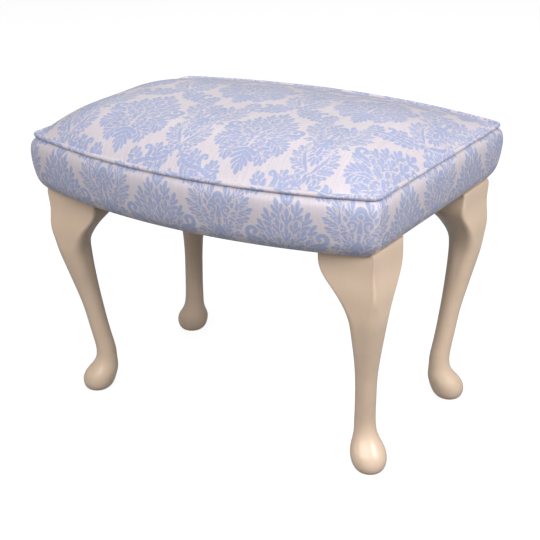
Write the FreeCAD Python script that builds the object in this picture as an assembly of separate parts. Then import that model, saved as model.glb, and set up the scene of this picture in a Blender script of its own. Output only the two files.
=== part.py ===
"""Upholstered stool: painted cabriole legs, a bow-sided rail frame and a boxed, piped seat.

Millimetres. The origin is on the floor under the middle of the seat, +X runs along the
length, +Y to the back and +Z up. The two long sides are bowed outwards, the two ends
are straight.
"""
import FreeCAD, Part
import math
import os

from FreeCAD import Vector

# Rail frame, measured over the outside of the rails
FRAME_LENGTH = 514.0
FRAME_DEPTH = 337.0        # at the corners, before the bow
FRAME_BOW = 41.0           # how far the middle of a long rail stands out past its ends
RAIL_HEIGHT = 52.0
RAIL_THICKNESS = 22.0
FRAME_CORNER_RADIUS = 4.0

# Legs
LEG_HEIGHT = 332.0         # floor to the underside of the rails
POST_SIDE = 45.0           # square top of the leg, between the rails
KNEE_LEDGE = 4.0           # the knee stands out past the post by the upholstery's thickness
KNEE_SIDE = 82.0           # square knee block under the rails
KNEE_OUT = 33.0            # outer faces of the knee block from the leg's own axis
STANCE_X = 6.0             # the foot's middle from that axis: outwards along the seat
STANCE_Y = -17.0           # and in under its depth
FOOT_HEIGHT = 45.0
FOOT_DIAMETER = 49.0
FOOT_FLAT_DIAMETER = 28.0  # flat that stands on the floor
ANKLE_DIAMETER = 28.5
ARRIS_RADIUS = 1.2         # the corner edge of the knee
KNEE_WING_RADIUS = 3.0     # its two side corners
KNEE_INNER_RADIUS = 36.0   # its corner towards the middle of the stool
LEAST_FLAT = 0.3           # shortest straight left between two rounded corners

# Joints of the frame
DOWEL_DIAMETER = 8.0
DOWEL_LENGTH = 40.0
DOWEL_EDGE = 14.0          # dowel centres from the top and bottom of a rail
DOWEL_CLEARANCE = 0.1
CORNER_BLOCK_LEG = 78.0    # along each rail
CORNER_BLOCK_HEIGHT = 36.0
SCREW_DIAMETER = 4.0
SCREW_HEAD_DIAMETER = 8.0
SCREW_HEAD_HEIGHT = 2.4
SCREW_LENGTH = 34.0
SCREW_CLEARANCE = 0.1
SCREW_FROM_POST = 17.0     # screw line from the inner face of the post

# Webbing, hessian and their tacks
WEBBING_WIDTH = 50.0
WEBBING_THICKNESS = 1.6
WEBBING_EDGE = 6.0         # strip ends from the outside of the rail
WEBBING_FROM_POST = 4.0    # the outer strips' edges from the posts
STRIPS_ALONG = 3
STRIPS_ACROSS = 5
WEAVE_RISE = 10.0          # length over which a strip climbs over its neighbour
TACK_HEAD_DIAMETER = 7.0
TACK_HEAD_HEIGHT = 0.8
TACK_SHANK_DIAMETER = 1.8
TACK_LENGTH = 12.0
TACKS_PER_END = 3
HESSIAN_THICKNESS = 0.8
HESSIAN_INSET = 5.0

# Seat
EDGE_RISE = 27.0           # the middle of the piping above the rails
CROWN = 45.0               # the middle of the top above its piped edge
CROWN_ENDS = 7.5           # a higher power keeps the top flat further out, and its edge steeper
CROWN_FRONT = 6.5
CROWN_BACK = 1.35
CREST_ROUNDING = 0.17      # as a share of the seat's half depth
SEAT_CORNER_RADIUS = 12.0
PIPING_DIAMETER = 6.4
PIPING_CORD_DIAMETER = 4.4
PIPING_OUT = 13.0          # middle of the piping past the frame's end
PIPING_BOW = 48.0
COVER_THICKNESS = 1.2
WADDING_THICKNESS = 6.0    # over the foam
SOFT_GAP = 0.3             # between one soft layer and the next

# The border's outer face: height as a share of the border, distance out past the frame, bow
BORDER_PROFILE = [
    (0.00, 4.5, 41.0),
    (0.07, 8.5, 41.5),
    (0.22, 13.0, 43.0),
    (0.46, 16.5, 45.0),
    (0.70, 18.0, 46.5),
    (0.88, 17.5, 47.5),
    (1.00, 14.5, 48.0),
]
BORDER_RETURN = 13.0       # turned under the rails
DUST_COVER_THICKNESS = 0.6
DUST_COVER_INSET = 11.0
KNEE_CLEARANCE = 0.8       # between the knee blocks and the cloth cut round them
STAPLE_CROWN = 10.0
STAPLE_LEG = 6.0
STAPLE_WIRE = 1.0
STAPLES_PER_RAIL = 7

# Worked out from the sizes above
HALF_LENGTH = FRAME_LENGTH / 2
HALF_DEPTH = FRAME_DEPTH / 2
LEG_X = HALF_LENGTH + KNEE_LEDGE - KNEE_OUT   # the leg's own axis, at its knee
LEG_Y = HALF_DEPTH + KNEE_LEDGE - KNEE_OUT
RAIL_TOP = LEG_HEIGHT + RAIL_HEIGHT
SEAT_HEIGHT = RAIL_TOP + EDGE_RISE   # floor to the middle of the piping
HESSIAN_BOTTOM = RAIL_TOP + 2 * WEBBING_THICKNESS + SOFT_GAP
FOAM_BOTTOM = HESSIAN_BOTTOM + HESSIAN_THICKNESS + SOFT_GAP
BORDER_BOTTOM = LEG_HEIGHT - SOFT_GAP - COVER_THICKNESS
BORDER_TOP = SEAT_HEIGHT - PIPING_DIAMETER / 2 - SOFT_GAP
TOP_OF_FRAME_PRISM = SEAT_HEIGHT + CROWN + 20.0

CORNERS = {
    "front_left": (-1, -1),
    "front_right": (1, -1),
    "back_left": (-1, 1),
    "back_right": (1, 1),
}


def save(node, shape):
    """Check one sub-part and write it."""
    if not shape.isValid():
        raise ValueError(node + " is not a valid shape")
    shape.exportStep("parts/" + node + ".step")
    print(node, len(shape.Solids), "solid(s)", round(shape.Volume / 1000, 2), "cm3")


def together(shapes):
    """Several separate solids as one sub-part."""
    return Part.makeCompound(shapes)


def box(x0, x1, y0, y1, z0, z1):
    return Part.makeBox(x1 - x0, y1 - y0, z1 - z0, Vector(x0, y0, z0))


def rod(start, direction, length, diameter):
    return Part.makeCylinder(diameter / 2, length, start, direction)


def mirrored(shape, sx, sy):
    """Carry a shape modelled at the +X, +Y corner over to another corner."""
    if sx < 0:
        shape = shape.mirror(Vector(0, 0, 0), Vector(1, 0, 0))
    if sy < 0:
        shape = shape.mirror(Vector(0, 0, 0), Vector(0, 1, 0))
    return shape


# Plan outlines


def bow_radius(half_length, bow):
    """Radius of the arc that stands out by bow over a chord of two half lengths."""
    return (half_length ** 2 + bow ** 2) / (2 * bow)


def bow_edge(x, half_length, half_depth, bow):
    """Distance of a long side from the middle of the seat, at x."""
    radius = bow_radius(half_length, bow)
    return half_depth + bow - radius + math.sqrt(radius ** 2 - x ** 2)


def outline(half_length, half_depth, bow, corner, z, inset=0.0):
    """Closed plan outline: straight ends, bowed long sides and rounded corners."""
    side = half_length - inset
    arc = bow_radius(half_length, bow) - inset
    centre_y = half_depth + bow - inset - arc
    r = max(corner - inset, 1.0)
    corner_x = side - r
    corner_y = centre_y + math.sqrt((arc - r) ** 2 - corner_x ** 2)
    along = Vector(corner_x, corner_y - centre_y, 0).normalize()
    touch = Vector(corner_x + r * along.x, corner_y + r * along.y, z)
    half_turn = math.atan2(along.y, along.x) / 2
    middle = Vector(corner_x + r * math.cos(half_turn), corner_y + r * math.sin(half_turn), z)

    def at(v, sx, sy):
        return Vector(sx * v.x, sy * v.y, z)

    start = Vector(side, corner_y, z)
    crest = Vector(0, centre_y + arc, z)
    edges = []
    edges.append(Part.LineSegment(at(start, 1, -1), at(start, 1, 1)))
    edges.append(Part.Arc(at(start, 1, 1), at(middle, 1, 1), at(touch, 1, 1)))
    edges.append(Part.Arc(at(touch, 1, 1), crest, at(touch, -1, 1)))
    edges.append(Part.Arc(at(touch, -1, 1), at(middle, -1, 1), at(start, -1, 1)))
    edges.append(Part.LineSegment(at(start, -1, 1), at(start, -1, -1)))
    edges.append(Part.Arc(at(start, -1, -1), at(middle, -1, -1), at(touch, -1, -1)))
    edges.append(Part.Arc(at(touch, -1, -1), at(crest, 1, -1), at(touch, 1, -1)))
    edges.append(Part.Arc(at(touch, 1, -1), at(middle, 1, -1), at(start, 1, -1)))
    return Part.Wire([edge.toShape() for edge in edges])


def frame_outline(z, inset=0.0):
    return outline(HALF_LENGTH, HALF_DEPTH, FRAME_BOW, FRAME_CORNER_RADIUS, z, inset)


def prism(wire, height):
    return Part.Face(wire).extrude(Vector(0, 0, height))


def frame_prism(z0, z1, inset=0.0):
    return prism(frame_outline(z0, inset), z1 - z0)


def frame_edge(x, inset=0.0):
    """Outer face of a long rail at x, less the inset."""
    return bow_edge(x, HALF_LENGTH, HALF_DEPTH, FRAME_BOW) - inset


# Legs


def leg_section(z, centre, side, outer, wing, inner):
    """Square with rounded corners; the +X, +Y corner faces out of the stool.

    centre is the middle of the square from the leg's own axis, along both axes.
    outer, wing and inner are the radii of the outward corner, of the two side corners
    and of the corner that faces the middle of the stool.
    """
    most = (side - LEAST_FLAT) / 2
    wing = min(wing, most)
    outer = min(outer, most)
    inner = min(inner, side - LEAST_FLAT - wing)
    low = centre - side / 2
    high = centre + side / 2
    corners = [(high, high, outer), (low, high, wing), (low, low, inner), (high, low, wing)]
    arcs = []
    for quarter, (x, y, r) in enumerate(corners):
        cx = x - r if x > centre else x + r
        cy = y - r if y > centre else y + r
        ends = []
        for half in range(3):
            a = (quarter + half / 2) * math.pi / 2
            ends.append(Vector(cx + r * math.cos(a), cy + r * math.sin(a), z))
        arcs.append(ends)
    edges = []
    for index, ends in enumerate(arcs):
        following = arcs[(index + 1) % 4]
        edges.append(Part.Arc(ends[0], ends[1], ends[2]).toShape())
        edges.append(Part.LineSegment(ends[2], following[0]).toShape())
    return Part.Wire(edges)


def round_section(z, middle, diameter):
    """Nearly round section; middle is along the leg's own diagonal."""
    radius = diameter / 2
    return leg_section(z, middle / math.sqrt(2), diameter, radius, radius, radius)


def foot_sections():
    """Pad foot: height as a share of the foot, middle along the diagonal, share of its width."""
    shape = [
        (0.09, 1.5, 0.80),
        (0.22, 0.3, 0.93),
        (0.42, -1.8, 1.00),
        (0.63, -5.6, 0.97),
        (0.84, -10.5, 0.83),
    ]
    sections = [round_section(0.0, 2.5, FOOT_FLAT_DIAMETER)]
    for height, middle, width in shape:
        sections.append(round_section(height * FOOT_HEIGHT, middle, width * FOOT_DIAMETER))
    return sections


def shaft_sections():
    """From the ankle to the underside of the rails.

    Height as a share of the way up from the foot, middle from the leg's own axis along
    both axes, side, and the radii of the outer, side and inner corners.
    """
    ankle = ANKLE_DIAMETER
    side = KNEE_SIDE
    middle = KNEE_OUT - side / 2
    shape = [
        (0.02, -10.2, 1.12 * ankle, 16.0, 16.0, 16.0),
        (0.06, -10.7, 1.04 * ankle, 15.0, 15.0, 15.0),
        (0.13, -8.7, ankle, 15.0, 15.0, 15.0),
        (0.21, -5.6, ankle, 15.0, 15.0, 15.0),
        (0.33, -1.4, 1.04 * ankle, 15.0, 15.0, 15.0),
        (0.45, 3.6, 0.42 * side, 17.0, 16.0, 17.0),
        (0.57, 8.4, 0.49 * side, 18.0, 15.0, 19.0),
        (0.66, 10.9, 0.55 * side, 17.0, 13.0, 23.0),
        (0.72, 9.2, 0.62 * side, 12.0, 10.0, 36.0),
        (0.78, 4.9, 0.74 * side, 6.0, 8.0, 46.0),
        (0.835, -1.6, 0.875 * side, 3.0, 6.0, 56.0),
        (0.885, middle + 1.4, 0.97 * side, 2 * ARRIS_RADIUS, 5.0, 50.0),
        (0.94, middle + 0.6, 0.995 * side, ARRIS_RADIUS, 4.0, 42.0),
        (1.00, middle, side, ARRIS_RADIUS, KNEE_WING_RADIUS, KNEE_INNER_RADIUS),
    ]
    sections = []
    for height, centre, width, outer, wing, inner in shape:
        z = FOOT_HEIGHT + height * (LEG_HEIGHT - FOOT_HEIGHT)
        sections.append(leg_section(z, centre, width, outer, wing, inner))
    return sections


def post():
    """Square top of the +X, +Y leg, with its outer face following the bow."""
    x0 = HALF_LENGTH - POST_SIDE
    y0 = HALF_DEPTH - POST_SIDE
    blank = box(x0, HALF_LENGTH, y0, HALF_DEPTH + FRAME_BOW, LEG_HEIGHT, RAIL_TOP)
    return blank.common(frame_prism(LEG_HEIGHT, RAIL_TOP))


def make_leg():
    """Cabriole leg at the +X, +Y corner, knee outwards."""
    sections = foot_sections() + shaft_sections()
    for section in sections:
        down = 1 - section.BoundBox.ZMin / LEG_HEIGHT
        section.translate(Vector(LEG_X + STANCE_X * down, LEG_Y + STANCE_Y * down, 0))
    shaft = Part.makeLoft(sections, True, False)
    return shaft.fuse(post()).removeSplitter()


# Rails, dowels and corner blocks


def make_end_rail():
    """Straight rail at the +X end."""
    y = HALF_DEPTH - POST_SIDE
    return box(HALF_LENGTH - RAIL_THICKNESS, HALF_LENGTH, -y, y, LEG_HEIGHT, RAIL_TOP)


def make_long_rail():
    """Bowed rail at the back."""
    x = HALF_LENGTH - POST_SIDE
    ring = frame_prism(LEG_HEIGHT, RAIL_TOP).cut(frame_prism(LEG_HEIGHT, RAIL_TOP, RAIL_THICKNESS))
    return ring.common(box(-x, x, 0, HALF_DEPTH + FRAME_BOW + 1, LEG_HEIGHT, RAIL_TOP))


def dowels(diameter, length):
    """The four dowels of the +X, +Y corner, two into each rail."""
    rods = []
    rail_end_y = frame_edge(HALF_LENGTH - POST_SIDE, RAIL_THICKNESS / 2)
    for z in (LEG_HEIGHT + DOWEL_EDGE, RAIL_TOP - DOWEL_EDGE):
        start = Vector(HALF_LENGTH - POST_SIDE - length / 2, rail_end_y, z)
        rods.append(rod(start, Vector(1, 0, 0), length, diameter))
        start = Vector(HALF_LENGTH - RAIL_THICKNESS / 2, HALF_DEPTH - POST_SIDE - length / 2, z)
        rods.append(rod(start, Vector(0, 1, 0), length, diameter))
    return rods


def corner_block_blank():
    """Three-cornered block behind the +X, +Y post, shaped to both rails and the post."""
    x = HALF_LENGTH - RAIL_THICKNESS
    y = frame_edge(HALF_LENGTH - POST_SIDE, RAIL_THICKNESS)
    z = LEG_HEIGHT + (RAIL_HEIGHT - CORNER_BLOCK_HEIGHT) / 2
    points = [
        Vector(x, y - CORNER_BLOCK_LEG, z),
        Vector(x, y + FRAME_BOW, z),
        Vector(x - CORNER_BLOCK_LEG, y + FRAME_BOW, z),
        Vector(x - CORNER_BLOCK_LEG, y, z),
    ]
    blank = prism(Part.makePolygon(points + points[:1]), CORNER_BLOCK_HEIGHT)
    return blank.common(frame_prism(LEG_HEIGHT, RAIL_TOP, RAIL_THICKNESS)).cut(post())


def block_screws(shank_diameter, head_diameter):
    """The two screws that hold a corner block: one into the end rail, one into the long rail."""
    z = LEG_HEIGHT + RAIL_HEIGHT / 2
    post_x = HALF_LENGTH - POST_SIDE
    post_y = HALF_DEPTH - POST_SIDE
    depth_x = HALF_LENGTH - RAIL_THICKNESS * 0.3
    line_x = post_x - SCREW_FROM_POST
    depth_y = frame_edge(line_x, RAIL_THICKNESS * 0.3)
    ends = [
        (Vector(depth_x, post_y - SCREW_FROM_POST, z), Vector(-1, 0, 0)),
        (Vector(line_x, depth_y, z), Vector(0, -1, 0)),
    ]
    screws = []
    for tip, back in ends:
        shank = rod(tip, back, SCREW_LENGTH, shank_diameter)
        head = rod(tip + back * SCREW_LENGTH, back, SCREW_HEAD_HEIGHT, head_diameter)
        screws.append(shank.fuse(head).removeSplitter())
    return screws


def head_pockets():
    """Room for the screw heads and the driver, cut square into the slanted block."""
    pockets = []
    for screw in block_screws(SCREW_DIAMETER, SCREW_HEAD_DIAMETER):
        centre = screw.BoundBox.Center
        along_x = screw.BoundBox.XLength > screw.BoundBox.YLength
        back = Vector(-1, 0, 0) if along_x else Vector(0, -1, 0)
        reach = max(screw.BoundBox.XLength, screw.BoundBox.YLength) / 2 - SCREW_HEAD_HEIGHT
        seat = centre + back * reach
        pockets.append(rod(seat, back, CORNER_BLOCK_LEG, SCREW_HEAD_DIAMETER + 2 * SCREW_CLEARANCE))
    return pockets


# Webbing and tacks


def woven_strip(half_length, crossings, first_over):
    """Side view of one strip as (distance, height) points, over and under its neighbours."""
    reach = WEBBING_WIDTH / 2 + SOFT_GAP
    points = [(-half_length, 0.0)]
    for index, place in enumerate(crossings):
        over = (index % 2 == 0) == first_over
        if over:
            points.append((place - reach - WEAVE_RISE, 0.0))
            points.append((place - reach, WEBBING_THICKNESS))
            points.append((place + reach, WEBBING_THICKNESS))
            points.append((place + reach + WEAVE_RISE, 0.0))
    points.append((half_length, 0.0))
    return points


def strip_solid(points, across, along_x):
    """A strip of webbing from its side view, laid at its place across the frame."""
    loop = points + [(d, h + WEBBING_THICKNESS) for d, h in reversed(points)]
    low = across - WEBBING_WIDTH / 2
    if along_x:
        corners = [Vector(d, low, RAIL_TOP + h) for d, h in loop]
        sweep = Vector(0, WEBBING_WIDTH, 0)
    else:
        corners = [Vector(low, d, RAIL_TOP + h) for d, h in loop]
        sweep = Vector(WEBBING_WIDTH, 0, 0)
    return Part.Face(Part.makePolygon(corners + corners[:1])).extrude(sweep)


def strip_places(count, half_span):
    """Middles of strips spread evenly between the posts at both ends of the span."""
    outermost = half_span - POST_SIDE - WEBBING_FROM_POST - WEBBING_WIDTH / 2
    return [outermost * (2 * index / (count - 1) - 1) for index in range(count)]


LONG_PLACES = strip_places(STRIPS_ALONG, HALF_DEPTH)
CROSS_PLACES = strip_places(STRIPS_ACROSS, HALF_LENGTH)


def cross_half_length(x):
    """Cross strips end on the bowed rails."""
    return frame_edge(abs(x) + WEBBING_WIDTH / 2, WEBBING_EDGE)


def make_long_webbing():
    strips = []
    for index, y in enumerate(LONG_PLACES):
        points = woven_strip(HALF_LENGTH - WEBBING_EDGE, CROSS_PLACES, index % 2 == 0)
        strips.append(strip_solid(points, y, True))
    return strips


def make_cross_webbing():
    strips = []
    for index, x in enumerate(CROSS_PLACES):
        points = woven_strip(cross_half_length(x), LONG_PLACES, index % 2 == 1)
        strips.append(strip_solid(points, x, False))
    return strips


def tack(x, y, seat):
    head = rod(Vector(x, y, seat), Vector(0, 0, 1), TACK_HEAD_HEIGHT, TACK_HEAD_DIAMETER)
    shank = rod(Vector(x, y, seat), Vector(0, 0, -1), TACK_LENGTH, TACK_SHANK_DIAMETER)
    return head.fuse(shank).removeSplitter()


def make_tacks():
    """A row of tacks across each end of every strip."""
    seat = RAIL_TOP + WEBBING_THICKNESS
    spread = [(index + 0.5) / TACKS_PER_END - 0.5 for index in range(TACKS_PER_END)]
    tacks = []
    for share in spread:
        aside = share * WEBBING_WIDTH
        for y in LONG_PLACES:
            for sign in (-1, 1):
                tacks.append(tack(sign * (HALF_LENGTH - RAIL_THICKNESS / 2), y + aside, seat))
        for x in CROSS_PLACES:
            for sign in (-1, 1):
                edge = frame_edge(x + aside, RAIL_THICKNESS / 2)
                edge = min(edge, cross_half_length(x) - TACK_HEAD_DIAMETER / 2)
                tacks.append(tack(x + aside, sign * edge, seat))
    return tacks


# Soft seat


def crown_fall(v):
    """Share of the crown that is lost at v, from -1 at the front edge to 1 at the back."""
    if v < 0:
        return abs(v) ** CROWN_FRONT
    crest = CREST_ROUNDING ** CROWN_BACK
    whole = (1 + CREST_ROUNDING ** 2) ** (CROWN_BACK / 2) - crest
    return ((v ** 2 + CREST_ROUNDING ** 2) ** (CROWN_BACK / 2) - crest) / whole


def crown_height(u, v):
    """Height of the crown as a share, from shares of the way out to the ends and sides."""
    return (1 - abs(u) ** CROWN_ENDS) * (1 - crown_fall(v))


def below_crown(edge_height, depth):
    """Slab of the given depth under the crowned surface, wider than the seat all round."""
    half_length = HALF_LENGTH + PIPING_OUT
    half_depth = HALF_DEPTH + PIPING_OUT
    past = 1.06
    columns = 29
    rows = 29
    grid = []
    for i in range(columns):
        u = past * (2 * i / (columns - 1) - 1)
        line = []
        for j in range(rows):
            v = past * (2 * j / (rows - 1) - 1)
            y = v * (half_depth + PIPING_BOW * (1 - u * u))
            line.append(Vector(u * half_length, y, edge_height + CROWN * crown_height(u, v)))
        grid.append(line)
    surface = Part.BSplineSurface()
    surface.interpolate(grid)
    return surface.toShape().extrude(Vector(0, 0, -depth))


def side_outline(share, out, bow, inset=0.0):
    """The border's outer face at one height."""
    z = BORDER_BOTTOM + share * (BORDER_TOP - BORDER_BOTTOM)
    return outline(HALF_LENGTH + out, HALF_DEPTH + out, bow, SEAT_CORNER_RADIUS, z, inset)


def border_body(inset=0.0):
    """Solid inside the border, drawn in towards its bottom edge."""
    return Part.makeLoft([side_outline(*row, inset) for row in BORDER_PROFILE], True, False)


def cut_round_knees(sheet, z0, z1):
    """Cut a cloth close round the four knee blocks."""
    side = KNEE_SIDE + 2 * KNEE_CLEARANCE
    middle = KNEE_OUT - KNEE_SIDE / 2
    section = leg_section(z0, middle, side, ARRIS_RADIUS, KNEE_WING_RADIUS, KNEE_INNER_RADIUS)
    section.translate(Vector(LEG_X, LEG_Y, 0))
    knee = prism(section, z1 - z0)
    for sx, sy in CORNERS.values():
        sheet = sheet.cut(mirrored(knee, sx, sy))
    return sheet


def make_border():
    """Band of cover cloth round the seat, turned under the rails between the knees."""
    band = border_body().cut(border_body(COVER_THICKNESS))
    under = LEG_HEIGHT - SOFT_GAP
    layer = box(-FRAME_LENGTH, FRAME_LENGTH, -FRAME_LENGTH, FRAME_LENGTH, BORDER_BOTTOM, under)
    flange = border_body(COVER_THICKNESS / 2).common(layer)
    flange = flange.cut(frame_prism(BORDER_BOTTOM, under, BORDER_RETURN))
    flange = cut_round_knees(flange, BORDER_BOTTOM, under)
    return band.fuse(flange).removeSplitter()


def make_wadding(foam_top):
    """Stuffing over the foam and down the outside of the rails."""
    bottom = LEG_HEIGHT + SOFT_GAP
    layer = COVER_THICKNESS + SOFT_GAP
    body = border_body(layer)
    body = body.common(box(-FRAME_LENGTH, FRAME_LENGTH, -FRAME_LENGTH, FRAME_LENGTH, bottom, SEAT_HEIGHT))
    top_row = BORDER_PROFILE[-1]
    top = side_outline(*top_row, layer + PIPING_DIAMETER / 2)
    body = body.fuse(prism(top, CROWN + PIPING_DIAMETER))
    body = body.common(below_crown(SEAT_HEIGHT - layer, TOP_OF_FRAME_PRISM))
    core = frame_prism(LEG_HEIGHT, TOP_OF_FRAME_PRISM, -SOFT_GAP)
    core = core.common(below_crown(foam_top + SOFT_GAP, TOP_OF_FRAME_PRISM))
    return body.cut(core).removeSplitter()


def make_foam(foam_top):
    block = frame_prism(FOAM_BOTTOM, TOP_OF_FRAME_PRISM)
    return block.common(below_crown(foam_top, TOP_OF_FRAME_PRISM))


def piping_outline(inset=0.0):
    half_length = HALF_LENGTH + PIPING_OUT
    half_depth = HALF_DEPTH + PIPING_OUT
    return outline(half_length, half_depth, PIPING_BOW, SEAT_CORNER_RADIUS, SEAT_HEIGHT, inset)


def make_top_cover():
    edge = piping_outline(PIPING_DIAMETER / 2 + SOFT_GAP)
    edge.translate(Vector(0, 0, -CROWN))
    return below_crown(SEAT_HEIGHT, COVER_THICKNESS).common(prism(edge, 3 * CROWN))


def ring_along(path, diameter):
    """Round ring that follows a closed path."""
    start = path.Edges[0].Vertexes[0].Point
    section = Part.Wire(Part.makeCircle(diameter / 2, start, Vector(0, 1, 0)))
    return path.makePipeShell([section], True, True)


def make_piping_cord():
    return ring_along(piping_outline(), PIPING_CORD_DIAMETER)


def make_piping_cover():
    outer = ring_along(piping_outline(), PIPING_DIAMETER)
    return outer.cut(ring_along(piping_outline(), PIPING_CORD_DIAMETER + 2 * SOFT_GAP))


# Underside


def make_dust_cover():
    top = BORDER_BOTTOM - SOFT_GAP
    sheet = frame_prism(top - DUST_COVER_THICKNESS, top, DUST_COVER_INSET)
    return cut_round_knees(sheet, top - DUST_COVER_THICKNESS, top)


def staple(x, y, seat, along):
    """Wire staple driven up into a rail, with its crown lying along the rail."""
    side = along * (STAPLE_CROWN / 2)
    aside = Vector(-along.y, along.x, 0) * (STAPLE_WIRE / 2)
    foot = Vector(x, y, seat - STAPLE_WIRE) - side - aside
    crown = [foot, foot + side * 2, foot + side * 2 + aside * 2, foot + aside * 2]
    wire = prism(Part.makePolygon(crown + crown[:1]), STAPLE_WIRE)
    for end in (-1, 1):
        root = Vector(x, y, seat) + side * end * (1 - STAPLE_WIRE / STAPLE_CROWN)
        half = along * (STAPLE_WIRE / 2)
        corners = [root - half - aside, root + half - aside, root + half + aside, root - half + aside]
        wire = wire.fuse(prism(Part.makePolygon(corners + corners[:1]), STAPLE_LEG))
    return wire.removeSplitter()


def staple_row(inset, seat, shift):
    """Staples under the four rails, between the knee blocks."""
    long_reach = LEG_X + KNEE_OUT - KNEE_SIDE - STAPLE_CROWN
    end_reach = LEG_Y + KNEE_OUT - KNEE_SIDE - STAPLE_CROWN
    end_count = max(2, round(STAPLES_PER_RAIL * end_reach / long_reach))
    row = []
    for index in range(STAPLES_PER_RAIL):
        x = long_reach * ((index + shift) * 2 / STAPLES_PER_RAIL - 1)
        radius = bow_radius(HALF_LENGTH, FRAME_BOW)
        along = Vector(math.sqrt(radius ** 2 - x ** 2), -x, 0).normalize()
        for sign in (-1, 1):
            tangent = Vector(along.x, sign * along.y, 0)
            row.append(staple(x, sign * frame_edge(x, inset), seat, tangent))
    for index in range(end_count):
        y = end_reach * ((index + shift) * 2 / end_count - 1)
        for sign in (-1, 1):
            row.append(staple(sign * (HALF_LENGTH - inset), y, seat, Vector(0, 1, 0)))
    return row


def main():
    os.makedirs("parts", exist_ok=True)
    foam_top = SEAT_HEIGHT - COVER_THICKNESS - WADDING_THICKNESS - 2 * SOFT_GAP

    holes = dowels(DOWEL_DIAMETER + 2 * DOWEL_CLEARANCE, DOWEL_LENGTH + 2 * DOWEL_CLEARANCE)
    screw_holes = block_screws(SCREW_DIAMETER + 2 * SCREW_CLEARANCE, SCREW_HEAD_DIAMETER)
    leg = make_leg()
    for hole in holes:
        leg = leg.cut(hole)
    for name, (sx, sy) in CORNERS.items():
        save(name + "_leg", mirrored(leg, sx, sy))

    end_rail = make_end_rail()
    long_rail = make_long_rail()
    block = corner_block_blank()
    for hole in screw_holes + head_pockets():
        block = block.cut(hole)
    for sx, sy in CORNERS.values():
        for hole in holes + screw_holes:
            if sx > 0:
                end_rail = end_rail.cut(mirrored(hole, sx, sy))
            if sy > 0:
                long_rail = long_rail.cut(mirrored(hole, sx, sy))
    save("right_rail", end_rail)
    save("left_rail", mirrored(end_rail, -1, 1))
    save("back_rail", long_rail)
    save("front_rail", mirrored(long_rail, 1, -1))
    for name, (sx, sy) in CORNERS.items():
        save(name + "_corner_block", mirrored(block, sx, sy))
    corner_dowels = dowels(DOWEL_DIAMETER, DOWEL_LENGTH)
    corner_screws = block_screws(SCREW_DIAMETER, SCREW_HEAD_DIAMETER)
    all_dowels = [mirrored(one, sx, sy) for one in corner_dowels for sx, sy in CORNERS.values()]
    all_screws = [mirrored(one, sx, sy) for one in corner_screws for sx, sy in CORNERS.values()]
    save("rail_dowels", together(all_dowels))
    save("corner_block_screws", together(all_screws))

    save("webbing_along", together(make_long_webbing()))
    save("webbing_across", together(make_cross_webbing()))
    save("webbing_tacks", together(make_tacks()))
    save("hessian", frame_prism(HESSIAN_BOTTOM, HESSIAN_BOTTOM + HESSIAN_THICKNESS, HESSIAN_INSET))
    save("foam_pad", make_foam(foam_top))
    save("wadding", make_wadding(foam_top))
    save("top_cover", make_top_cover())
    save("border_band", make_border())
    save("piping_cord", make_piping_cord())
    save("piping_cover", make_piping_cover())

    save("dust_cover", make_dust_cover())
    border_row = staple_row(BORDER_RETURN / 2, BORDER_BOTTOM, 0.5)
    save("border_staples", together(border_row))
    cover_bottom = BORDER_BOTTOM - SOFT_GAP - DUST_COVER_THICKNESS
    cover_row = staple_row((DUST_COVER_INSET + RAIL_THICKNESS) / 2, cover_bottom, 0.75)
    save("dust_cover_staples", together(cover_row))


if __name__ == "__main__":
    main()
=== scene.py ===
import math

import bmesh
import bpy
import numpy as np
from mathutils import Matrix, Vector, noise


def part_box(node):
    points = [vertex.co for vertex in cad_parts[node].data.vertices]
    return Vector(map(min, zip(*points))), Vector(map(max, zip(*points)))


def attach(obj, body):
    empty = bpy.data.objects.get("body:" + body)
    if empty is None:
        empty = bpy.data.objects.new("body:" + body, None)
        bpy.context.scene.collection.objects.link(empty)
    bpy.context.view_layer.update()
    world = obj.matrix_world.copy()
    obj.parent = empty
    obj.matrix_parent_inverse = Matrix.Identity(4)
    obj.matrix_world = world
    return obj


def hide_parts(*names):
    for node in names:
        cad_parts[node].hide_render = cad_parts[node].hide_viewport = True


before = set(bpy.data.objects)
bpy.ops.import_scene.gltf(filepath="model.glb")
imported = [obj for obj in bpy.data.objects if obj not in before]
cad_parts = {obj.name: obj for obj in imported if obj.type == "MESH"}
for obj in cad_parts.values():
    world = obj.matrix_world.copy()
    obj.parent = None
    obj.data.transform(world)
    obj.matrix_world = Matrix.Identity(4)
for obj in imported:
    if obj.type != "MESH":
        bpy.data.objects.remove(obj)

bl_info = {
    "name": "Upholstered stool",
    "version": (1, 0, 0),
    "blender": (4, 5, 0),
    "location": "View3D > Sidebar > Stool",
    "description": "Dresses a stool frame with a piped damask seat, painted legs and its inner layers",
    "category": "Object",
}

# Sizes that come from the frame, in metres
PIPING_LOW, PIPING_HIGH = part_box("piping_cover")
PIPING_WIDTH = PIPING_HIGH.z - PIPING_LOW.z
SEAT_HALF_LENGTH = PIPING_HIGH.x - PIPING_WIDTH / 2
SEAT_HALF_DEPTH = PIPING_HIGH.y - PIPING_WIDTH / 2
SEAT_HEIGHT = (PIPING_HIGH.z + PIPING_LOW.z) / 2
CORD_LOW, CORD_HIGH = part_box("piping_cord")
CROWN_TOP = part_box("top_cover")[1].z
RAIL_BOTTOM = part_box("front_rail")[0].z
FRAME_BOW = 0.041   # how far a long rail's middle stands out past its ends
FRAME_HALF_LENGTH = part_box("right_rail")[1].x
FRAME_HALF_DEPTH = -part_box("front_rail")[0].y - FRAME_BOW

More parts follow.
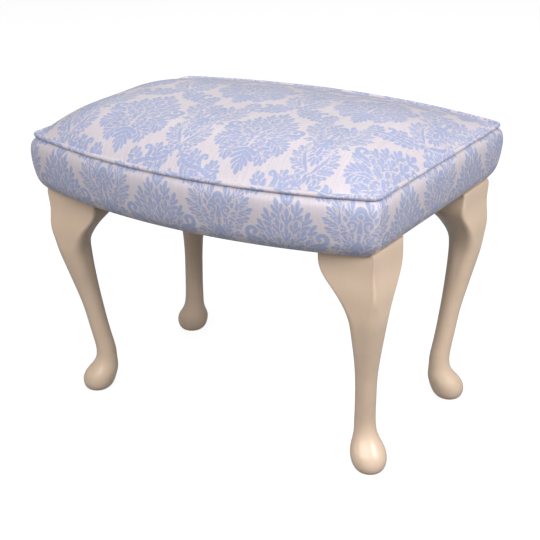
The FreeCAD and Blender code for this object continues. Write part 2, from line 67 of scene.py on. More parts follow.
# The border's section: height under the piping's middle, distance out past it, both in metres
BORDER_SECTION = [
    (-0.0020, -0.0040),
    (-0.0043, -0.0008),
    (-0.0078, 0.0030),
    (-0.0140, 0.0053),
    (-0.0240, 0.0058),
    (-0.0380, 0.0045),
    (-0.0520, 0.0020),
    (-0.0620, -0.0006),
    (-0.0700, -0.0044),
    (-0.0758, -0.0088),
    (-0.0793, -0.0122),
    (-0.0806, -0.0160),
    (-0.0808, -0.0265),
]


# Settings

def length_setting(name, text, metres, low=0.0):
    return bpy.props.FloatProperty(name=name, description=text, default=metres, min=low,
                                   unit="LENGTH", subtype="DISTANCE", precision=4)


def angle_setting(name, text, degrees):
    return bpy.props.FloatProperty(name=name, description=text, default=math.radians(degrees),
                                   unit="ROTATION", subtype="ANGLE")


def power_setting(name, text, watts):
    return bpy.props.FloatProperty(name=name, description=text, default=watts, min=0.0, unit="POWER")


def share_setting(name, text, value, low=0.0, high=1.0):
    return bpy.props.FloatProperty(name=name, description=text, default=value, min=low, max=high)


def colour_setting(name, text, rgb):
    return bpy.props.FloatVectorProperty(name=name, description=text, default=rgb, size=3,
                                         subtype="COLOR", min=0.0, max=1.0)


class StoolSeatSettings(bpy.types.PropertyGroup):
    """Sizes of the upholstery"""

    bow: length_setting("Bow", "How far the middle of a long side stands out past its ends", 0.048)
    bottom_bow: length_setting("Bottom bow", "The same at the border's bottom edge", 0.041)
    corner: length_setting("Corner", "Radius of the seat's corners in plan", 0.012)
    crown: length_setting("Crown", "Height of the crown above the piping", CROWN_TOP - SEAT_HEIGHT)
    ends: share_setting("End fullness", "Power of the crown's fall to the ends", 7.5, 1.0, 12.0)
    front: share_setting("Front fullness", "Power of the crown's fall to the front edge", 6.5, 1.0, 12.0)
    back: share_setting("Back fullness", "Power of the crown's fall to the back edge", 1.35, 1.0, 12.0)
    crest: share_setting("Crest rounding", "Share of the depth over which the crest is rounded", 0.17)
    softness: length_setting("Softness", "Height of the stuffing's slight unevenness", 0.0007)
    skew: share_setting("Skew", "How far the warp leans to the side, per length", 0.12, -0.3, 0.3)


class StoolClothSettings(bpy.types.PropertyGroup):
    """Pattern and colours of the damask"""

    half_repeat: length_setting("Half repeat", "From a medallion's axis to the next column's", 0.0937)
    drop: length_setting("Half drop", "How far the next column is set down", 0.179)
    gap: length_setting("Gap", "Ground left round a leaf that lies over others", 0.0014)
    first_axis: length_setting("Medallion axis", "A medallion's axis from the seat's middle", 0.0626, -1)
    first_tip: length_setting("Medallion tip", "Its tip from the seat's middle, over the crown", -0.223, -1)
    border_axis: length_setting("Border axis", "First medallion's axis from the front left corner", 0.060)
    border_drop: length_setting("Border drop", "Pattern height at the border's top edge", 0.1635)
    ground: colour_setting("Ground", "Ivory ground", (0.715, 0.652, 0.700))
    figure: colour_setting("Figure", "Light blue figure", (0.412, 0.458, 0.675))


class StoolFinishSettings(bpy.types.PropertyGroup):
    """Colours of the other finishes"""

    paint: colour_setting("Paint", "Cream paint of the legs", (0.855, 0.652, 0.488))
    bare_wood: colour_setting("Bare wood", "Beech of the rails and blocks", (0.560, 0.370, 0.200))
    steel: colour_setting("Steel", "Tacks, screws and staples", (0.420, 0.420, 0.430))
    jute: colour_setting("Jute", "Webbing and hessian", (0.430, 0.290, 0.150))
    foam: colour_setting("Foam", "Seat foam", (0.800, 0.700, 0.420))
    cotton: colour_setting("Cotton", "Wadding and piping cord", (0.820, 0.790, 0.720))
    bottom: colour_setting("Bottom cloth", "Black cloth under the seat", (0.018, 0.018, 0.019))


class StoolViewSettings(bpy.types.PropertyGroup):
    """Camera and lights"""

    eye: bpy.props.FloatVectorProperty(name="Eye", description="Place of the camera", size=3,
                                       default=(0.9533, -1.4868, 0.9303), unit="LENGTH", subtype="XYZ")
    heading: angle_setting("Heading", "Turn of the view about the vertical", 32.66)
    dip: angle_setting("Dip", "How far the view looks down", 22.52)
    roll: angle_setting("Roll", "Tilt of the picture", -0.824)
    lens: bpy.props.FloatProperty(name="Lens", description="Focal length on a 36 mm wide picture",
                                  default=87.37, min=1.0, unit="CAMERA")
    surround: share_setting("Surround", "Strength of the white surround", 0.26, 0.0, 4.0)
    key: power_setting("Key light", "Power of the light in front", 28.0)
    fill: power_setting("Fill light", "Power of the light above the camera", 23.0)
    side: power_setting("Side light", "Power of the light at the right", 44.0)
    back: power_setting("Back light", "Power of the light behind", 10.0)


# Meshes

TOUCH = 1e-6    # points of a solid's mesh that are nearer than this are one


def new_object(name, mesh, node):
    """Link a finished mesh as a piece that rides on the stool and stands for a node."""
    piece = bpy.data.objects.new(name, mesh)
    bpy.context.scene.collection.objects.link(piece)
    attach(piece, "root")
    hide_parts(node)
    return piece


def mesh_from(bm, name):
    mesh = bpy.data.meshes.new(name)
    bm.to_mesh(mesh)
    bm.free()
    return mesh


def vertex_places(mesh):
    flat = np.empty(len(mesh.vertices) * 3, np.float32)
    mesh.vertices.foreach_get("co", flat)
    return flat.reshape(-1, 3)


def set_vertex_places(mesh, places):
    mesh.vertices.foreach_set("co", np.ascontiguousarray(places, np.float32).ravel())
    mesh.update()


def grid_mesh(name, columns, rows, place, up=None, close=False):
    """A sheet of columns by rows cells, laid out by place(s, t) with both shares from 0 to 1.

    Its faces point along up, or else away from the seat's middle.
    """
    bm = bmesh.new()
    bmesh.ops.create_grid(bm, x_segments=columns, y_segments=rows, size=0.5)
    mesh = mesh_from(bm, name)
    s, t = np.clip(vertex_places(mesh)[:, :2].T + 0.5, 0, 1).astype(float)
    placed = place(s, t)
    set_vertex_places(mesh, placed["co"])
    if "figure" in placed:
        layer = mesh.attributes.new("figure", "FLOAT", "POINT")
        layer.data.foreach_set("value", np.ascontiguousarray(placed["figure"], np.float32))
    if "uv" in placed:
        loops = np.empty(len(mesh.loops), np.int32)
        mesh.loops.foreach_get("vertex_index", loops)
        layer = mesh.uv_layers.new(name="cloth")
        layer.data.foreach_set("uv", np.ascontiguousarray(placed["uv"][loops], np.float32).ravel())

    bm = bmesh.new()
    bm.from_mesh(mesh)
    if close:
        bmesh.ops.remove_doubles(bm, verts=bm.verts, dist=1e-5)
    bm.normal_update()
    outwards = 0.0
    for face in bm.faces:
        centre = face.calc_center_median()
        away = up if up is not None else Vector((centre.x, centre.y, 0.0))
        outwards += face.normal.dot(away) * face.calc_area()
    if outwards < 0:
        bmesh.ops.reverse_faces(bm, faces=bm.faces)
    bm.to_mesh(mesh)
    bm.free()
    mesh.shade_smooth()
    return mesh


# Curves and tables

END_STEPS = 113     # from the middle of an end to its corner
CORNER_STEPS = 12   # round a corner
BOW_STEPS = 200     # from a corner to the middle of a long side


def arc_radius(half_length, bow):
    """Radius of an arc that stands out by the bow in the middle of its length."""
    return (half_length ** 2 + bow ** 2) / (2 * bow)


def round_outline(half_length, half_depth, bow, corner):
    """Closed outline from the back left corner: left end, front, right end, back. Ends on its start."""
    arc = arc_radius(half_length, bow)
    centre_y = half_depth - arc
    corner_x = half_length - corner
    corner_y = centre_y + math.sqrt((arc - corner) ** 2 - corner_x ** 2)
    turn = math.atan2(corner_y - centre_y, corner_x)
    # from the middle of the right end, round the back right corner, to the middle of the back
    points = [(half_length, corner_y * i / END_STEPS) for i in range(END_STEPS)]
    for i in range(CORNER_STEPS):
        a = turn * i / CORNER_STEPS
        points.append((corner_x + corner * math.cos(a), corner_y + corner * math.sin(a)))
    for i in range(BOW_STEPS + 1):
        a = turn + (math.pi / 2 - turn) * i / BOW_STEPS
        points.append((arc * math.cos(a), centre_y + arc * math.sin(a)))
    q = np.array(points)
    quarters = ((q * (-1, 1))[::-1], q * (-1, -1), (q * (1, -1))[::-1], q)
    # joined, they start at the middle of the back, so they are rolled on to the corner
    whole = np.roll(np.vstack([part[:-1] for part in quarters]), -BOW_STEPS - CORNER_STEPS // 2, axis=0)
    return np.vstack([whole, whole[:1]])


def run_lengths(points):
    """Length along a line of points, at each of them."""
    return np.concatenate([[0.0], np.cumsum(np.linalg.norm(np.diff(points, axis=0), axis=1))])


def outward(points):
    """Outward normals of a closed outline that runs anticlockwise seen from above."""
    ring = points[:-1]
    ahead = np.roll(ring, -1, axis=0) - np.roll(ring, 1, axis=0)
    normal = np.column_stack([ahead[:, 1], -ahead[:, 0]])
    normal /= np.linalg.norm(normal, axis=1)[:, None]
    return np.vstack([normal, normal[:1]])


def smooth_run(values, at):
    """Smooth curve through equally spaced values, read at shares from 0 to 1."""
    values = np.asarray(values, float)
    place = np.clip(at, 0, 1) * (len(values) - 1)
    i = np.clip(place.astype(int), 0, len(values) - 2)
    f = (place - i)[:, None]
    p = np.vstack([2 * values[0] - values[1], values, 2 * values[-1] - values[-2]])
    a, b, c, d = p[i], p[i + 1], p[i + 2], p[i + 3]
    return 0.5 * (2 * b + (c - a) * f + (2 * a - 5 * b + 4 * c - d) * f ** 2
                  + (3 * b - a - 3 * c + d) * f ** 3)


def read_between(table, row, column):
    """Values between a table's points; past its last row comes its first one again."""
    i = row.astype(int) % len(table)
    j = np.clip(column.astype(int), 0, table.shape[1] - 2)
    after = (i + 1) % len(table)
    f, g = row - np.floor(row), column - j
    low = table[i, j] * (1 - g) + table[i, j + 1] * g
    high = table[after, j] * (1 - g) + table[after, j + 1] * g
    return low * (1 - f) + high * f


# Seat shape

BUMP_SIZE = 0.07    # metres from one soft bump of the stuffing to the next
BUMP_PLACE = 1.7    # where their pattern is read, along its first axis


def half_depth_at(x, seat):
    """Distance of the piping from the middle of the seat, at x."""
    radius = arc_radius(SEAT_HALF_LENGTH, seat.bow)
    return SEAT_HALF_DEPTH - radius + np.sqrt(radius ** 2 - np.minimum(np.abs(x), SEAT_HALF_LENGTH) ** 2)


def crown_at(x, y, seat):
    """Height of the crown over the piping."""
    u = np.clip(np.abs(x) / SEAT_HALF_LENGTH, 0, 1)
    v = np.clip(y / half_depth_at(x, seat), -1, 1)
    crest = seat.crest ** seat.back
    whole = (1 + seat.crest ** 2) ** (seat.back / 2) - crest
    fall = np.where(v < 0, np.abs(v) ** seat.front,
                    ((v ** 2 + seat.crest ** 2) ** (seat.back / 2) - crest) / whole)
    return seat.crown * (1 - u ** seat.ends) * (1 - fall)


def unevenness(x, y, z):
    """Slow soft bumps, from -1 to 1."""
    scaled = zip(x / BUMP_SIZE, y / BUMP_SIZE, z / BUMP_SIZE)
    return np.array([noise.noise(Vector((a + BUMP_PLACE, b, c))) for a, b, c in scaled])


# Damask

# Drawn in millimetres from a medallion's tip: across, then up. Each stroke is a way of
# laying it and its (across, up, half width) rows.
OVER, ONTO, CUT = 1, 2, 3
RIB = [1.2, 2.4, 1.4]   # widths of a frond's rib
LEAN = 0.42             # how far back along the rib a spray's leaflets start, as a share of it


def leaf(base, tip, width, bend=0.0, how=OVER):
    """Pointed leaf on a curved spine."""
    (x0, y0), (x1, y1) = base, tip
    mx = (x0 + x1) / 2 - (y1 - y0) * bend
    my = (y0 + y1) / 2 + (x1 - x0) * bend
    t = np.linspace(0, 1, 6)
    x = (1 - t) ** 2 * x0 + 2 * t * (1 - t) * mx + t ** 2 * x1
    y = (1 - t) ** 2 * y0 + 2 * t * (1 - t) * my + t ** 2 * y1
    # it starts with some width, swells fast, and ends nearly in a point
    half = width / 2 * np.sin(math.pi * (0.20 + 0.75 * t) ** 1.5) ** 0.7
    return how, np.column_stack([x, y, half])


def stem(points, widths, how=OVER):
    """Smooth tapered band through points."""
    share = np.linspace(0, 1, 4 * len(points))
    half = np.interp(share, np.linspace(0, 1, len(points)), widths) / 2
    return how, np.column_stack([smooth_run(points, share), half])


def scroll(centre, radius, start, turn, width, how=OVER):
    """Band that winds in to its eye."""
    t = np.linspace(0, 1, 14)
    angle = np.radians(start + turn * t)
    # it thins on its way in, and its last point is a round eye
    out = radius * (1 - 0.72 * t)
    half = width / 2 * (1 - 0.30 * t)
    half[-1] = width * 0.44
    return how, np.column_stack([centre[0] + out * np.cos(angle), centre[1] + out * np.sin(angle), half])


def berry(centre, radius):
    return OVER, np.array([[centre[0], centre[1], radius], [centre[0], centre[1] + 0.01, radius]])


def fan(base, tips, width, bend=0.0):
    """Leaves from one root."""
    return [leaf(base, tip, width, bend) for tip in tips]


def frond(base, head, tips, width, lean, core):
    """Leaflets that spring forward from a rib, in the order they are given, over a core."""
    x0, y0 = base
    dx, dy = head[0] - x0, head[1] - y0
    # the core reaches a little past the rib's head
    parts = [leaf(base, (x0 + dx * 1.15, y0 + dy * 1.15), core)]
    for x, y in tips:
        share = ((x - x0) * dx + (y - y0) * dy) / (dx * dx + dy * dy)
        root = min(max(share - lean, 0.0), 0.95)
        parts.append(leaf((x0 + dx * root, y0 + dy * root), (x, y), width))
    return parts + [stem([base, (x0 + dx / 2, y0 + dy / 2), head], RIB, ONTO)]


def spray(base, tip, width, pairs, leaflet):
    """Lobe with pairs of leaflets and one at its tip."""
    (x0, y0), (x1, y1) = base, tip
    length = math.hypot(x1 - x0, y1 - y0)
    ax, ay = (x1 - x0) / length, (y1 - y0) / length
    tips = []
    for i in range(pairs):
        # the lobe is widest a little before its middle
        share = (i + 1.0) / (pairs + 0.75)
        reach = width / 2 * math.sin(math.pi * (0.22 + 0.62 * share))
        for side in (-1, 1):
            tips.append((x0 + ax * length * share + side * ay * reach,
                         y0 + ay * length * share - side * ax * reach))
    head = (x0 + ax * length * 0.8, y0 + ay * length * 0.8)
    return frond(base, head, tips + [tip], leaflet, LEAN, width * 0.7)


def sprays(leaflet, *rows):
    """Sprays, each from its base, tip, width and pairs of leaflets."""
    return [part for row in rows for part in spray(*row, leaflet)]


def medallion():
    """Right half of the large motif, back to front."""
    return [
        leaf((0, 50), (0, 150), 46),
        # cone of overlapping sprays, the outer ones first
        *sprays(6.0,
                ((0, 124), (0, 167), 22, 3), ((20, 82), (39, 104), 17, 2), ((18, 90), (38.5, 121), 19, 3),
                ((14, 103), (29.5, 138), 19, 3), ((7, 112), (15.5, 153), 18, 3), ((0, 98), (0, 140), 15, 3),
                ((6, 88), (13.5, 124), 15, 3), ((11, 82), (25, 110), 15, 3), ((0, 76), (0, 112), 14, 3),
                ((5, 66), (10, 96), 13, 2), ((12, 64), (22, 91), 13, 2)),
        # side curl
        *frond((26, 84), (44, 82), [(37, 73), (43.5, 70.5), (49.5, 74), (54.5, 80), (56, 87)], 6.6, 0.5, 9),
        stem([(5, 64), (14, 79), (29, 87.5), (45, 88.5)], [1.8, 4.4, 6.0, 7.0]),
        scroll((46, 100.5), 10.5, -100, 320, 7.2, ONTO),
        *fan((28, 87), [(36, 99), (31, 98)], 5.6),
        # acanthus lobes at the sides and below
        *frond((17, 66), (43, 52),
               [(31, 76.5), (38.5, 77), (45.5, 73.5), (51, 67.5), (53, 60), (53, 52),
                (50.5, 44.5), (45, 37.5), (38, 37.5), (32, 42), (26.5, 48)], 7.4, 0.42, 20),
        stem([(3, 44), (9, 57), (18, 65), (29, 64), (38, 57)], [2, 4, 4.8, 4.2, 1.5]),
        *frond((10, 46), (26, 30),
               [(23, 50), (30, 48), (35.5, 41.5), (37, 33.5), (34, 25.5), (29.5, 18.5),
                (22.5, 16), (18, 22), (14.5, 30)], 7.0, 0.42, 18),
        stem([(2, 30), (7, 40), (15, 44), (24, 39)], [2, 3.8, 4.0, 1.2]),
        # heart
        berry((10.5, 59), 9.0),
        scroll((11.5, 61), 8.0, 205, -300, 4.4),
        *fan((2, 62), [(4.5, 85), (9.5, 80)], 5.6, -0.10),
        scroll((9, 48.5), 6.2, 160, 285, 4.4),
        # pointed spray at the bottom
        *frond((0, 42), (0, 10), [(17.5, 32), (15.5, 21.5), (11, 13), (6.5, 5.5), (0, -1)], 7.2, 0.45, 18),
        leaf((0, 46), (0, 64), 5.0, how=CUT),
    ]


def junction():
    """Right half of the crowned motif between medallions, and its garland, from its lower dot."""
    return [
        # garland
        *frond((10, -24), (28, -38), [(13, -35), (18.5, -42.5), (26.5, -46.5), (34, -45)], 7.0, 0.4, 10),
        *frond((30, -34), (48, -42), [(34, -47), (41.5, -52), (49, -51), (54.5, -47)], 7.0, 0.4, 10),
        *frond((50, -38), (66, -50), [(54, -53), (61, -58), (68, -57), (74, -52)], 7.0, 0.4, 10),
        *frond((52, -38), (62, -24),
               [(70, -38), (71, -30.5), (69, -23), (63, -16.5), (56, -17), (51.5, -24)], 6.6, 0.45, 13),
        *frond((24, -30), (29, -13),
               [(36, -22), (37.5, -14), (34, -7), (27, -4.5), (21.5, -10), (19.5, -18)], 6.6, 0.45, 13),
        stem([(50, -37), (42, -30), (38.5, -22), (40.5, -13.5)], [3, 6.5, 6.5, 5]),
        scroll((45, -15.5), 5.4, 165, -250, 4.0, ONTO),
        stem([(5, 10), (3, -2), (4, -13), (12, -23.5), (26, -30.5), (42, -32.5), (60, -39.5), (72, -47)],
             [1.8, 4.0, 5.0, 5.6, 5.6, 5.6, 5.4, 3.5]),
        *frond((5, -22), (12, -9), [(20.5, -18), (20.5, -10), (16.5, -3.5), (10, -2)], 6.2, 0.45, 9),
        berry((0, 0), 2.0),
        # lower sprays
        *sprays(5.0,
                ((5, 24), (9, 47), 10, 3), ((3, 2), (24, 2), 11, 2), ((9, 26), (19, 55), 14, 4),
                ((9, 20), (28, 43), 14, 4), ((7, 14), (33, 29), 14, 4), ((5, 8), (31, 14), 13, 4)),
        stem([(3, 1), (8, 10), (14, 22), (17, 36)], [2.0, 4.4, 4.0, 1.6]),
        # crown
        *sprays(5.0,
                ((12, 76), (35, 80), 13, 3), ((20, 106), (22, 130), 12, 3), ((16, 84), (44, 92), 14, 4),
                ((19, 108), (33, 133), 14, 4), ((19, 94), (48, 106), 14, 4), ((20, 102), (43, 121), 14, 4)),
        stem([(13, 76), (21, 88), (26, 102), (27, 118)], [3.0, 4.8, 4.4, 1.6]),
        *frond((12, 96), (10.5, 122), [(21, 110), (19, 119.5), (4.5, 116), (15, 127.5), (8.5, 133)],
               6.2, 0.45, 11),
        # body
        *sprays(5.0, ((13, 66), (33, 61), 12, 2)),
        leaf((0, 24), (0, 117), 40),
        *sprays(5.0,
                ((0, 46), (0, 11), 19, 4), ((2, 34), (12, 58), 12, 3), ((3, 46), (19, 70), 13, 3),
                ((5, 60), (19, 84), 13, 3)),
        scroll((11.5, 98), 8.4, 262, -300, 4.6),
        *fan((15, 88), [(24, 98), (24.5, 91), (23, 84)], 5.0),
        leaf((0, 104), (0, 74), 7.4),
        *frond((0, 84), (0, 46), [(8, 58), (6, 45), (0, 30)], 6.4, 0.45, 9),
        leaf((5, 93), (5.4, 76), 2.8, how=CUT),
        berry((0, 111), 3.6),
    ]


def stroke_distance(px, py, rows):
    """How far points are outside a tapered stroke; negative inside."""
    best = np.full(px.shape, 1e3)
    for (x0, y0, w0), (x1, y1, w1) in zip(rows[:-1], rows[1:]):
        dx, dy = x1 - x0, y1 - y0
        t = np.clip(((px - x0) * dx + (py - y0) * dy) / max(dx * dx + dy * dy, 1e-9), 0, 1)
        best = np.minimum(best, np.hypot(px - x0 - t * dx, py - y0 - t * dy) - w0 - t * (w1 - w0))
    return best


class Damask:
    """Distance to the figure's edge anywhere on the cloth: mirrored columns with a half drop."""

    STEP = 0.4              # millimetres between the table's points
    FAR = 3.0               # greatest distance told, in millimetres
    JUNCTION_RISE = 27.5    # a junction's lower dot, above the next column's tip

    def __init__(self, cloth):
        self.half = cloth.half_repeat * 1000
        self.drop = cloth.drop * 1000
        self.across = np.arange(0, self.half + self.STEP, self.STEP)
        self.up = np.arange(0, 2 * self.drop, self.STEP)
        self.table = np.full((len(self.up), len(self.across)), self.FAR)
        lift = np.array([0, self.drop + self.JUNCTION_RISE, 0])
        for how, rows in medallion() + [(how, rows + lift) for how, rows in junction()]:
            neighbour = rows * (-1, 1, 1) + (self.half, self.drop, 0)
            for stroke in (rows, neighbour):
                for turn in (-4, -2, 0, 2):
                    self.draw(stroke + (0, turn * self.drop, 0), how, cloth.gap * 1000)

    def draw(self, stroke, how, gap):
        """Lay a stroke over the others with ground left round it, join it onto them, or cut it out."""
        reach = stroke[:, 2].max() + self.FAR
        (x0, y0), (x1, y1) = stroke[:, :2].min(0) - reach, stroke[:, :2].max(0) + reach
        rows = slice(*np.searchsorted(self.up, [y0, y1]))
        columns = slice(*np.searchsorted(self.across, [x0, x1]))
        part = self.table[rows, columns]
        if part.size == 0:
            return
        px, py = np.meshgrid(self.across[columns], self.up[rows])
        distance = stroke_distance(px, py, stroke)
        if how == CUT:
            np.maximum(part, -distance, out=part)
            return
        if how == OVER:
            np.maximum(part, gap - distance, out=part)
        np.minimum(part, distance, out=part)

    def at(self, u, v):
        """Read the distance, in millimetres, at cloth places in metres."""
        across = np.abs((u * 1000 + self.half) % (2 * self.half) - self.half) / self.STEP
        up = (v * 1000) % (2 * self.drop) / self.STEP
        return np.clip(read_between(self.table, up, across), -self.FAR, self.FAR)


PATTERNS = {}


def damask_pattern(cloth):
    """The pattern's distance table, drawn once."""
    key = (cloth.half_repeat, cloth.drop, cloth.gap)
    if key not in PATTERNS:
        PATTERNS[key] = Damask(cloth)
    return PATTERNS[key]


# Materials

WHITE = (1.0, 1.0, 1.0, 1.0)
BLACK = (0.0, 0.0, 0.0, 1.0)
STRIPE = (0.05, 0.035, 0.03, 1.0)
STRIPE_PLACE = 0.017    # the webbing's stripes, from its middle
FLOOR_WHITE = 0.87      # strength at which the camera sees the floor
DAMASK = "ivory and blue damask"


def opaque(rgb, level=1.0):
    return (rgb[0] * level, rgb[1] * level, rgb[2] * level, 1.0)


class Nodes:
    """Adds the nodes of one shader tree. What they take is linked if it is a socket, or else set."""

    def __init__(self, tree):
        self.tree = tree

    def feed(self, socket, value):
        if isinstance(value, bpy.types.NodeSocket):
            self.tree.links.new(value, socket)
        else:
            socket.default_value = value

    def put(self, kind, settings=None, **inputs):
        """Add a node. An input goes by its name, with _ for a space, or by i and its number."""
        made = self.tree.nodes.new(kind)
        for name, value in (settings or {}).items():
            setattr(made, name, value)
        for name, value in inputs.items():
            numbered = name[0] == "i" and name[1:].isdigit()
            self.feed(made.inputs[int(name[1:]) if numbered else name.replace("_", " ")], value)
        return made

    def math(self, operation, a, b=0.0, c=0.0):
        return self.put("ShaderNodeMath", {"operation": operation}, i0=a, i1=b, i2=c).outputs[0]

    def times(self, a, b):
        return self.math("MULTIPLY", a, b)

    def times_plus(self, a, b, c):
        return self.math("MULTIPLY_ADD", a, b, c)

    def ridges(self, value):
        """Round ridges, one for each whole step of the value."""
        return self.math("ABSOLUTE", self.math("SINE", self.times(value, math.pi)))

    def ramp(self, value, low, high, start=0.0, end=1.0):
        """From low where a value is start to high where it is end, and level past them."""
        return self.put("ShaderNodeMapRange", Value=value, From_Min=start, From_Max=end,
                        To_Min=low, To_Max=high).outputs[0]

    def spread(self, clouds, low, high):
        """From low to high over the range that clouds mostly keep to."""
        return self.ramp(clouds, low, high, 0.3, 0.7)

    def blend(self, factor, a, b):
        return self.put("ShaderNodeMix", {"data_type": "RGBA"}, i0=factor, i6=a, i7=b).outputs[2]

    def scaled(self, colour, level):
        return self.put("ShaderNodeVectorMath", {"operation": "SCALE"}, i0=colour, Scale=level).outputs[0]

    def mapped(self, place, **change):
        return self.put("ShaderNodeMapping", Vector=place, **change).outputs[0]

    def clouds(self, place, scale, detail, **more):
        return self.put("ShaderNodeTexNoise", Vector=place, Scale=scale, Detail=detail, **more).outputs[0]

    def object_place(self):
        return self.put("ShaderNodeTexCoord").outputs["Object"]

    def cloth_place(self):
        return self.put("ShaderNodeUVMap", {"uv_map": "cloth"}).outputs[0]

    def shared(self, name, place, **values):
        """Outputs of a shared group, placed here with its own values."""
        return self.put("ShaderNodeGroup", {"node_tree": bpy.data.node_groups[name]}, Vector=place,
                        **values).outputs

    def mottle(self, place, scale, low, high):
        return self.shared("Mottle", place, Scale=scale, Low=low, High=high)[0]


class SharedGroup(Nodes):
    """A node group of numbers and colours, read at a place by several materials."""

    def __init__(self, name, gives, **takes):
        tree = bpy.data.node_groups.new(name, "ShaderNodeTree")
        super().__init__(tree)
        tree.interface.new_socket(name="Vector", in_out="INPUT", socket_type="NodeSocketVector")
        for title, value in takes.items():
            kind = "NodeSocketFloat" if isinstance(value, float) else "NodeSocketColor"
            taken = tree.interface.new_socket(name=title.replace("_", " "), in_out="INPUT", socket_type=kind)
            taken.default_value = value
        for title in gives:
            kind = "NodeSocketColor" if title == "Color" else "NodeSocketFloat"
            tree.interface.new_socket(name=title, in_out="OUTPUT", socket_type=kind)
        self.start = self.put("NodeGroupInput").outputs
        self.end = self.put("NodeGroupOutput").inputs
        self.place = self.start["Vector"]


def build_weave(name):
    """Threads that pass over and under each other."""
    n = SharedGroup(name, ("Height", "Thread"), Warp_count=800.0, Weft_count=800.0, Slub=0.3)
    parts = n.put("ShaderNodeSeparateXYZ", Vector=n.place).outputs
    slub = n.clouds(n.place, 260.0, 2.0)
    push = n.times(n.math("SUBTRACT", slub, 0.5), n.start["Slub"])
    across = n.times_plus(parts[0], n.start["Warp count"], push)
    along = n.times_plus(parts[1], n.start["Weft count"], push)
    which = n.math("ADD", n.math("FLOOR", across), n.math("FLOOR", along))
    over = n.math("ABSOLUTE", n.math("MODULO", which, 2.0))
    top = n.times(n.ridges(across), over)
    under = n.times(n.ridges(along), n.math("SUBTRACT", 1.0, over))
    n.feed(n.end["Height"], n.math("ADD", top, under))
    n.feed(n.end["Thread"], n.times_plus(slub, 0.5, n.times(over, 0.5)))


def build_satin(name):
    """Fine warp ribs of a satin with the weft just showing between them."""
    n = SharedGroup(name, ("Height", "Rib", "Ragged", "Streak"), Rib_count=900.0, Weft_count=1100.0)
    parts = n.put("ShaderNodeSeparateXYZ", Vector=n.place).outputs
    across = n.times_plus(parts[0], n.start["Rib count"], n.clouds(n.place, 60.0, 2.0))
    along = n.times(parts[1], n.start["Weft count"])
    rib = n.ridges(across)
    cell = n.put("ShaderNodeCombineXYZ", X=n.math("FLOOR", across), Y=n.math("FLOOR", along)).outputs[0]
    chance = n.put("ShaderNodeTexWhiteNoise", {"noise_dimensions": "2D"}, Vector=cell).outputs[0]
    n.feed(n.end["Height"], n.times_plus(n.ridges(along), 0.3, n.times(rib, 0.7)))
    n.feed(n.end["Rib"], rib)
    n.feed(n.end["Ragged"], chance)
    n.feed(n.end["Streak"], n.clouds(n.mapped(n.place, Scale=(420.0, 16.0, 1.0)), 1.0, 3.0))


def build_mottle(name):
    """Slow cloudy change of tone over a surface."""
    n = SharedGroup(name, ("Tone",), Scale=8.0, Low=0.9, High=1.1)
    cloud = n.clouds(n.place, n.start["Scale"], 4.0, Roughness=0.55)
    n.feed(n.end["Tone"], n.spread(cloud, n.start["Low"], n.start["High"]))


def build_grain(name):
    """Wood grain that runs along the vector's X."""
    n = SharedGroup(name, ("Color", "Height"), Light=(0.6, 0.4, 0.2, 1.0), Dark=(0.4, 0.25, 0.1, 1.0))
    bands = n.clouds(n.mapped(n.place, Scale=(3.0, 60.0, 60.0)), 1.4, 5.0, Distortion=0.4)
    flecks = n.clouds(n.mapped(n.place, Scale=(60.0, 900.0, 900.0)), 1.0, 2.0)
    dark = n.start["Dark"]
    colour = n.blend(n.ramp(bands, 0.0, 1.0, 0.35, 0.68), n.start["Light"], dark)
    n.feed(n.end["Color"], n.blend(n.ramp(flecks, 0.0, 0.35, 0.62, 0.75), colour, dark))
    n.feed(n.end["Height"], n.times_plus(flecks, -0.5, bands))


def build_edge_wear(name):
    """Mask of the arrises, for the wear along them."""
    n = SharedGroup(name, ("Mask",), Reach=0.5)
    sharp = n.put("ShaderNodeNewGeometry").outputs["Pointiness"]
    limit = n.times_plus(n.clouds(n.place, 55.0, 4.0), 0.06, 0.485)
    n.feed(n.end["Mask"], n.ramp(n.math("SUBTRACT", sharp, limit), 0.0, n.start["Reach"], 0.0, 0.03))


SHARED_GROUPS = {
    "Plain weave": build_weave,
    "Satin ribs": build_satin,
    "Mottle": build_mottle,
    "Wood grain": build_grain,
    "Edge wear": build_edge_wear,
}


class Finish(Nodes):
    """A new material whose Principled shader is fed by name."""

    def __init__(self, name):
        self.material = bpy.data.materials.new(name)
        self.material.use_nodes = True
        super().__init__(self.material.node_tree)

    def surface(self, height=None, depth=0.0, **inputs):
        """Feed the shader, and raise its surface by a height over a depth in metres."""
        shader = self.tree.nodes["Principled BSDF"].inputs
        for name, value in inputs.items():
            self.feed(shader[name.replace("_", " ")], value)
        if height is not None:
            self.feed(shader["Normal"], self.put("ShaderNodeBump", Height=height, Distance=depth,
                                                 Strength=1.0).outputs[0])
        return self.material


